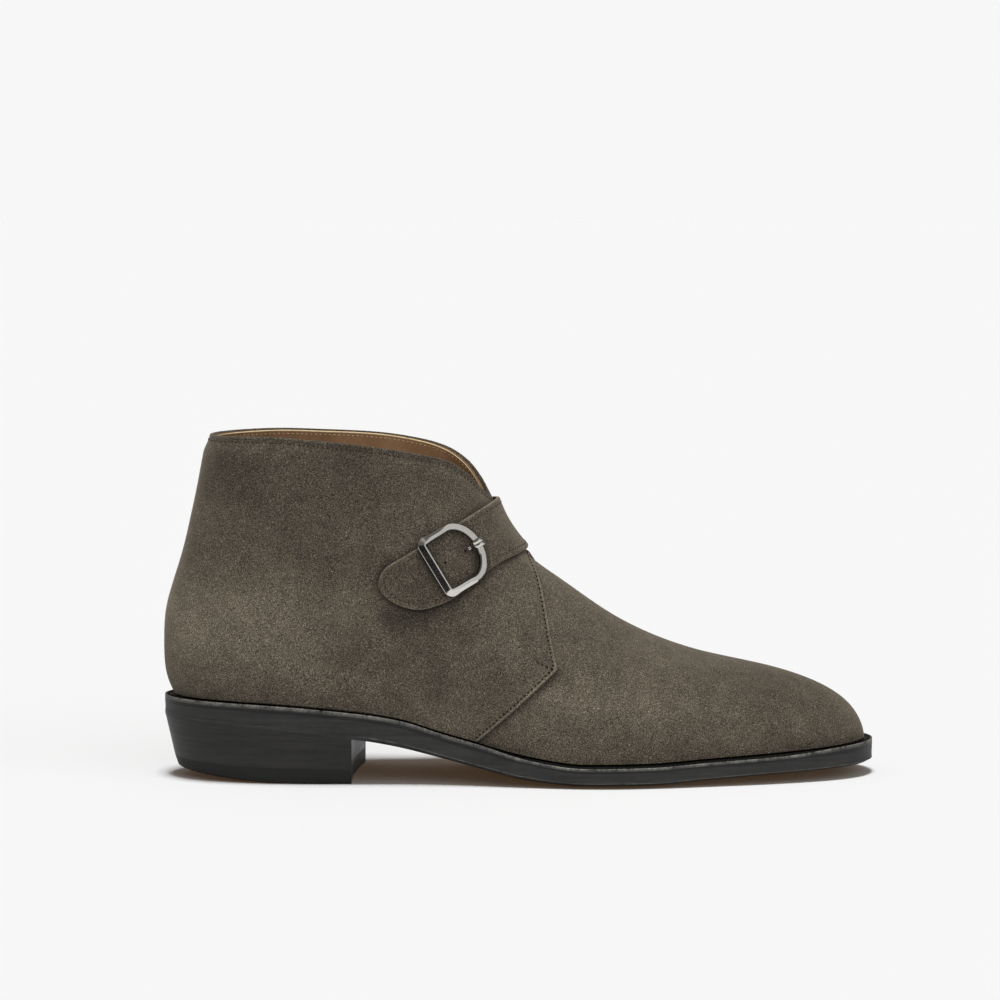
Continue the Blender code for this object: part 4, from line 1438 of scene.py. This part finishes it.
def heel_ring(lowered, height, drawn_in):
    """The heel's outline; lowered is 0 at its seat and 1 at the floor."""
    back = lowered * HEEL_BACK_SLANT + drawn_in
    inset = between(SIDE_TUCK, EDGE_ROUNDING + HEEL_SIDE_TAPER, lowered) + drawn_in
    end = HEEL_LENGTH - drawn_in
    front = math.acos(1 - 2 * HEEL_LENGTH / SOLE_LENGTH)
    along = share_along(np.linspace(0, front, HEEL_COLUMNS))
    share = along / along[-1]
    centre, half = foot_centre(along), foot_half(along, inset)
    outer_x = between(back, end, share)
    inner_x = between(back, end + HEEL_BREAST_SKEW, share)
    outer = stack(outer_x, centre - half, height(outer_x))
    inner = stack(inner_x, centre + half, height(inner_x))
    across = np.linspace(0, 1, BREAST_COLUMNS + 1)[1:-1]
    hollow = end + HEEL_BREAST_SKEW * across - HEEL_BREAST_HOLLOW * 4 * across * (1 - across)
    breast_y = between(outer[-1, 1], inner[-1, 1], across)
    breast = stack(hollow, breast_y, height(hollow))
    return np.concatenate([outer, breast, inner[:0:-1]])


def heel_rise(station):
    """How far the heel's underside lifts off the floor towards the back."""
    share = np.clip((HEEL_FLAT_STATION - station) / HEEL_FLAT_STATION, 0, 1)
    return HEEL_REAR_RISE * share**HEEL_RISE_POWER


def heel_slice(name, node, low, high, finish, layers, rows, edge):
    """A part of the heel between two heights, its lower edge rounded, with fine lines between its layers."""
    rings = []
    for share in 0.5 - 0.5 * np.cos(np.linspace(0, math.pi, rows)):
        lowered = between(low[0], high[0], share)
        drawn = edge * max(0, 1 - share / HEEL_EDGE_SHARE) ** 2
        drawn += sum(HEEL_GROOVE * bell(share - layer, HEEL_GROOVE_WIDTH) for layer in layers)
        rings.append(heel_ring(lowered, lambda x: between(low[1](x), high[1](x), share), drawn))
    worn = np.zeros((rows, len(rings[0])))
    worn[:, HEEL_COLUMNS : HEEL_COLUMNS + BREAST_COLUMNS - 1] = BREAST_WEAR
    add_plate(name, rings, finish, (node,), HEEL_COLUMNS - 2, worn)


def build_heel():
    """The stack of leather lifts and the rubber lift under it."""
    lift_share = 1 - TOP_LIFT / SOLE_BOTTOM(HEEL_LENGTH / 2)
    floor = (1.0, heel_rise)
    lift_top = (lift_share, lambda x: TOP_LIFT + heel_rise(x) / 2)
    stack_low = (lift_share, lambda x: TOP_LIFT + TIGHT + heel_rise(x) / 2)
    seat = (0.0, lambda x: SOLE_BOTTOM(x) - TIGHT)
    heel_slice(
        "heel_rubber", "heel_top_lift", floor, lift_top, Finish.rubber,
        layers=(), rows=LIFT_ROWS, edge=HEEL_EDGE,
    )
    layers = [1 - layer for layer in HEEL_LAYERS]
    heel_slice(
        "heel_lifts", "heel_stack", stack_low, seat, Finish.heel,
        layers=layers, rows=STACK_ROWS, edge=0.0,
    )


# Camera, light and floor

CAMERA_PLACE = (-0.00836, -1.50244, 0.246)
CAMERA_PITCH = 0.08595
CAMERA_LENS = 127.62
SENSOR = 36.0


def add_camera():
    data = bpy.data.cameras.new("camera")
    data.sensor_width = SENSOR
    data.lens = CAMERA_LENS
    camera = add_object("camera", data)
    camera.location = CAMERA_PLACE
    camera.rotation_euler = (math.pi / 2 - CAMERA_PITCH, 0, 0)
    bpy.context.scene.camera = camera


FLOOR_WHITE = (0.80, 0.82, 0.837, 1)
FLOOR_GLOW = (0.041, 0.023, 0.011, 1)
FLOOR_REACH = 30.0


def add_floor():
    """A wide white floor with a faint brown painted glow, so that its shadows stay warm."""
    made, _, _ = start_material(
        "white_floor", 1.0, Specular_IOR_Level=0.0, Emission_Color=FLOOR_GLOW, Emission_Strength=1.0,
        Base_Color=FLOOR_WHITE,
    )
    mesh = bpy.data.meshes.new("floor")
    corners = [(x * FLOOR_REACH, y * FLOOR_REACH, 0) for x, y in ((-1, -1), (1, -1), (1, 1), (-1, 1))]
    mesh.from_pydata(corners, [], [(0, 1, 2, 3)])
    mesh.materials.append(made)
    floor = add_object("floor", mesh)
    floor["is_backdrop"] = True
    return floor


# Lamps: irradiance, width in degrees and tilt from straight above, to the camera and sideways
KEY_LAMP = (2.77, 13, (3, -1))
FILL_LAMP = (2.33, 60, (62, -8))
BACK_LAMP = (0.9, 60, (-62, 8))
SKY = (0.17, 0.16, 0.15, 1)
BACKDROP = 0.93

# Light box of the sky: its direction, the cosines of its outer and inner edge and its brightness
BOX_FACING = (0.62, -0.62, 0.46)
BOX_EDGES = (0.75, 0.9)
BOX_BRIGHT = 0.66

# Dark room that the rear bar of the buckle mirrors
ROOM_FACING = (0.05, -0.99, 0.12)
ROOM_EDGES = (0.95, 0.985)
ROOM_DARK = (0.025, 0.024, 0.023, 1)


def add_lamp(name, strength, width, tilt):
    data = bpy.data.lights.new(name, "SUN")
    data.energy = strength
    data.angle = math.radians(width)
    lamp = add_object(name, data)
    lamp.rotation_euler = (math.radians(tilt[0]), math.radians(tilt[1]), 0)
    lamp.visible_glossy = False
    return lamp


def sky_patch(tree, way, facing, edges):
    """Share of a round patch of the sky, soft between the cosines of its outer and inner edge."""
    ahead = add_node(tree, "VectorMath", {"operation": "DOT_PRODUCT"}, i0=way, i1=facing).outputs["Value"]
    soft = {"interpolation_type": "SMOOTHSTEP"}
    return add_node(tree, "MapRange", soft, Value=ahead, From_Min=edges[0], From_Max=edges[1]).outputs[0]


def add_light(floor):
    """A lamp straight above, soft ones in front and behind for the boot alone, and a sky with a light box."""
    add_lamp("key", *KEY_LAMP)
    unlit = bpy.data.collections.new("lit_by_key_alone")
    unlit.objects.link(floor)
    for name, values in (("fill", FILL_LAMP), ("back", BACK_LAMP)):
        add_lamp(name, *values).light_linking.receiver_collection = unlit
    unlit.collection_objects[0].light_linking.link_state = "EXCLUDE"

    world = bpy.data.worlds.new("sky")
    bpy.context.scene.world = world
    world.use_nodes = True
    tree = world.node_tree
    tree.nodes.clear()
    way = add_node(tree, "TexCoord").outputs["Generated"]
    bright = (BOX_BRIGHT, BOX_BRIGHT, BOX_BRIGHT, 1)
    tint = ramp(tree, sky_patch(tree, way, BOX_FACING, BOX_EDGES), ((0.0, SKY), (1.0, bright)))
    room = sky_patch(tree, way, ROOM_FACING, ROOM_EDGES)
    light = add_node(tree, "Background", Color=mix(tree, room, tint, ROOM_DARK))
    shown = add_node(tree, "Background", Color=(BACKDROP, BACKDROP, BACKDROP, 1))
    seen = add_node(tree, "LightPath").outputs["Is Camera Ray"]
    mixed = add_node(tree, "MixShader", i0=seen, i1=light.outputs[0], i2=shown.outputs[0])
    out = tree.nodes.new("ShaderNodeOutputWorld")
    tree.links.new(mixed.outputs[0], out.inputs["Surface"])
    bpy.context.scene.view_settings.view_transform = "Standard"
    bpy.context.scene.view_settings.look = "None"


def main():
    add_camera()
    add_light(add_floor())
    build_vamp()
    build_quarter("quarter_outer", "quarter_lateral", 1)
    build_quarter("quarter_inner", "quarter_medial", -1)
    build_collar()
    build_strap()
    build_buckle()
    build_strap_holes()
    build_insole()
    build_welt()
    build_outsole()
    build_heel()


main()

boxes = {"cad": CAD_BOX, "visual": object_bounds()}
{name: [list(corner) for corner in box] for name, box in boxes.items()}
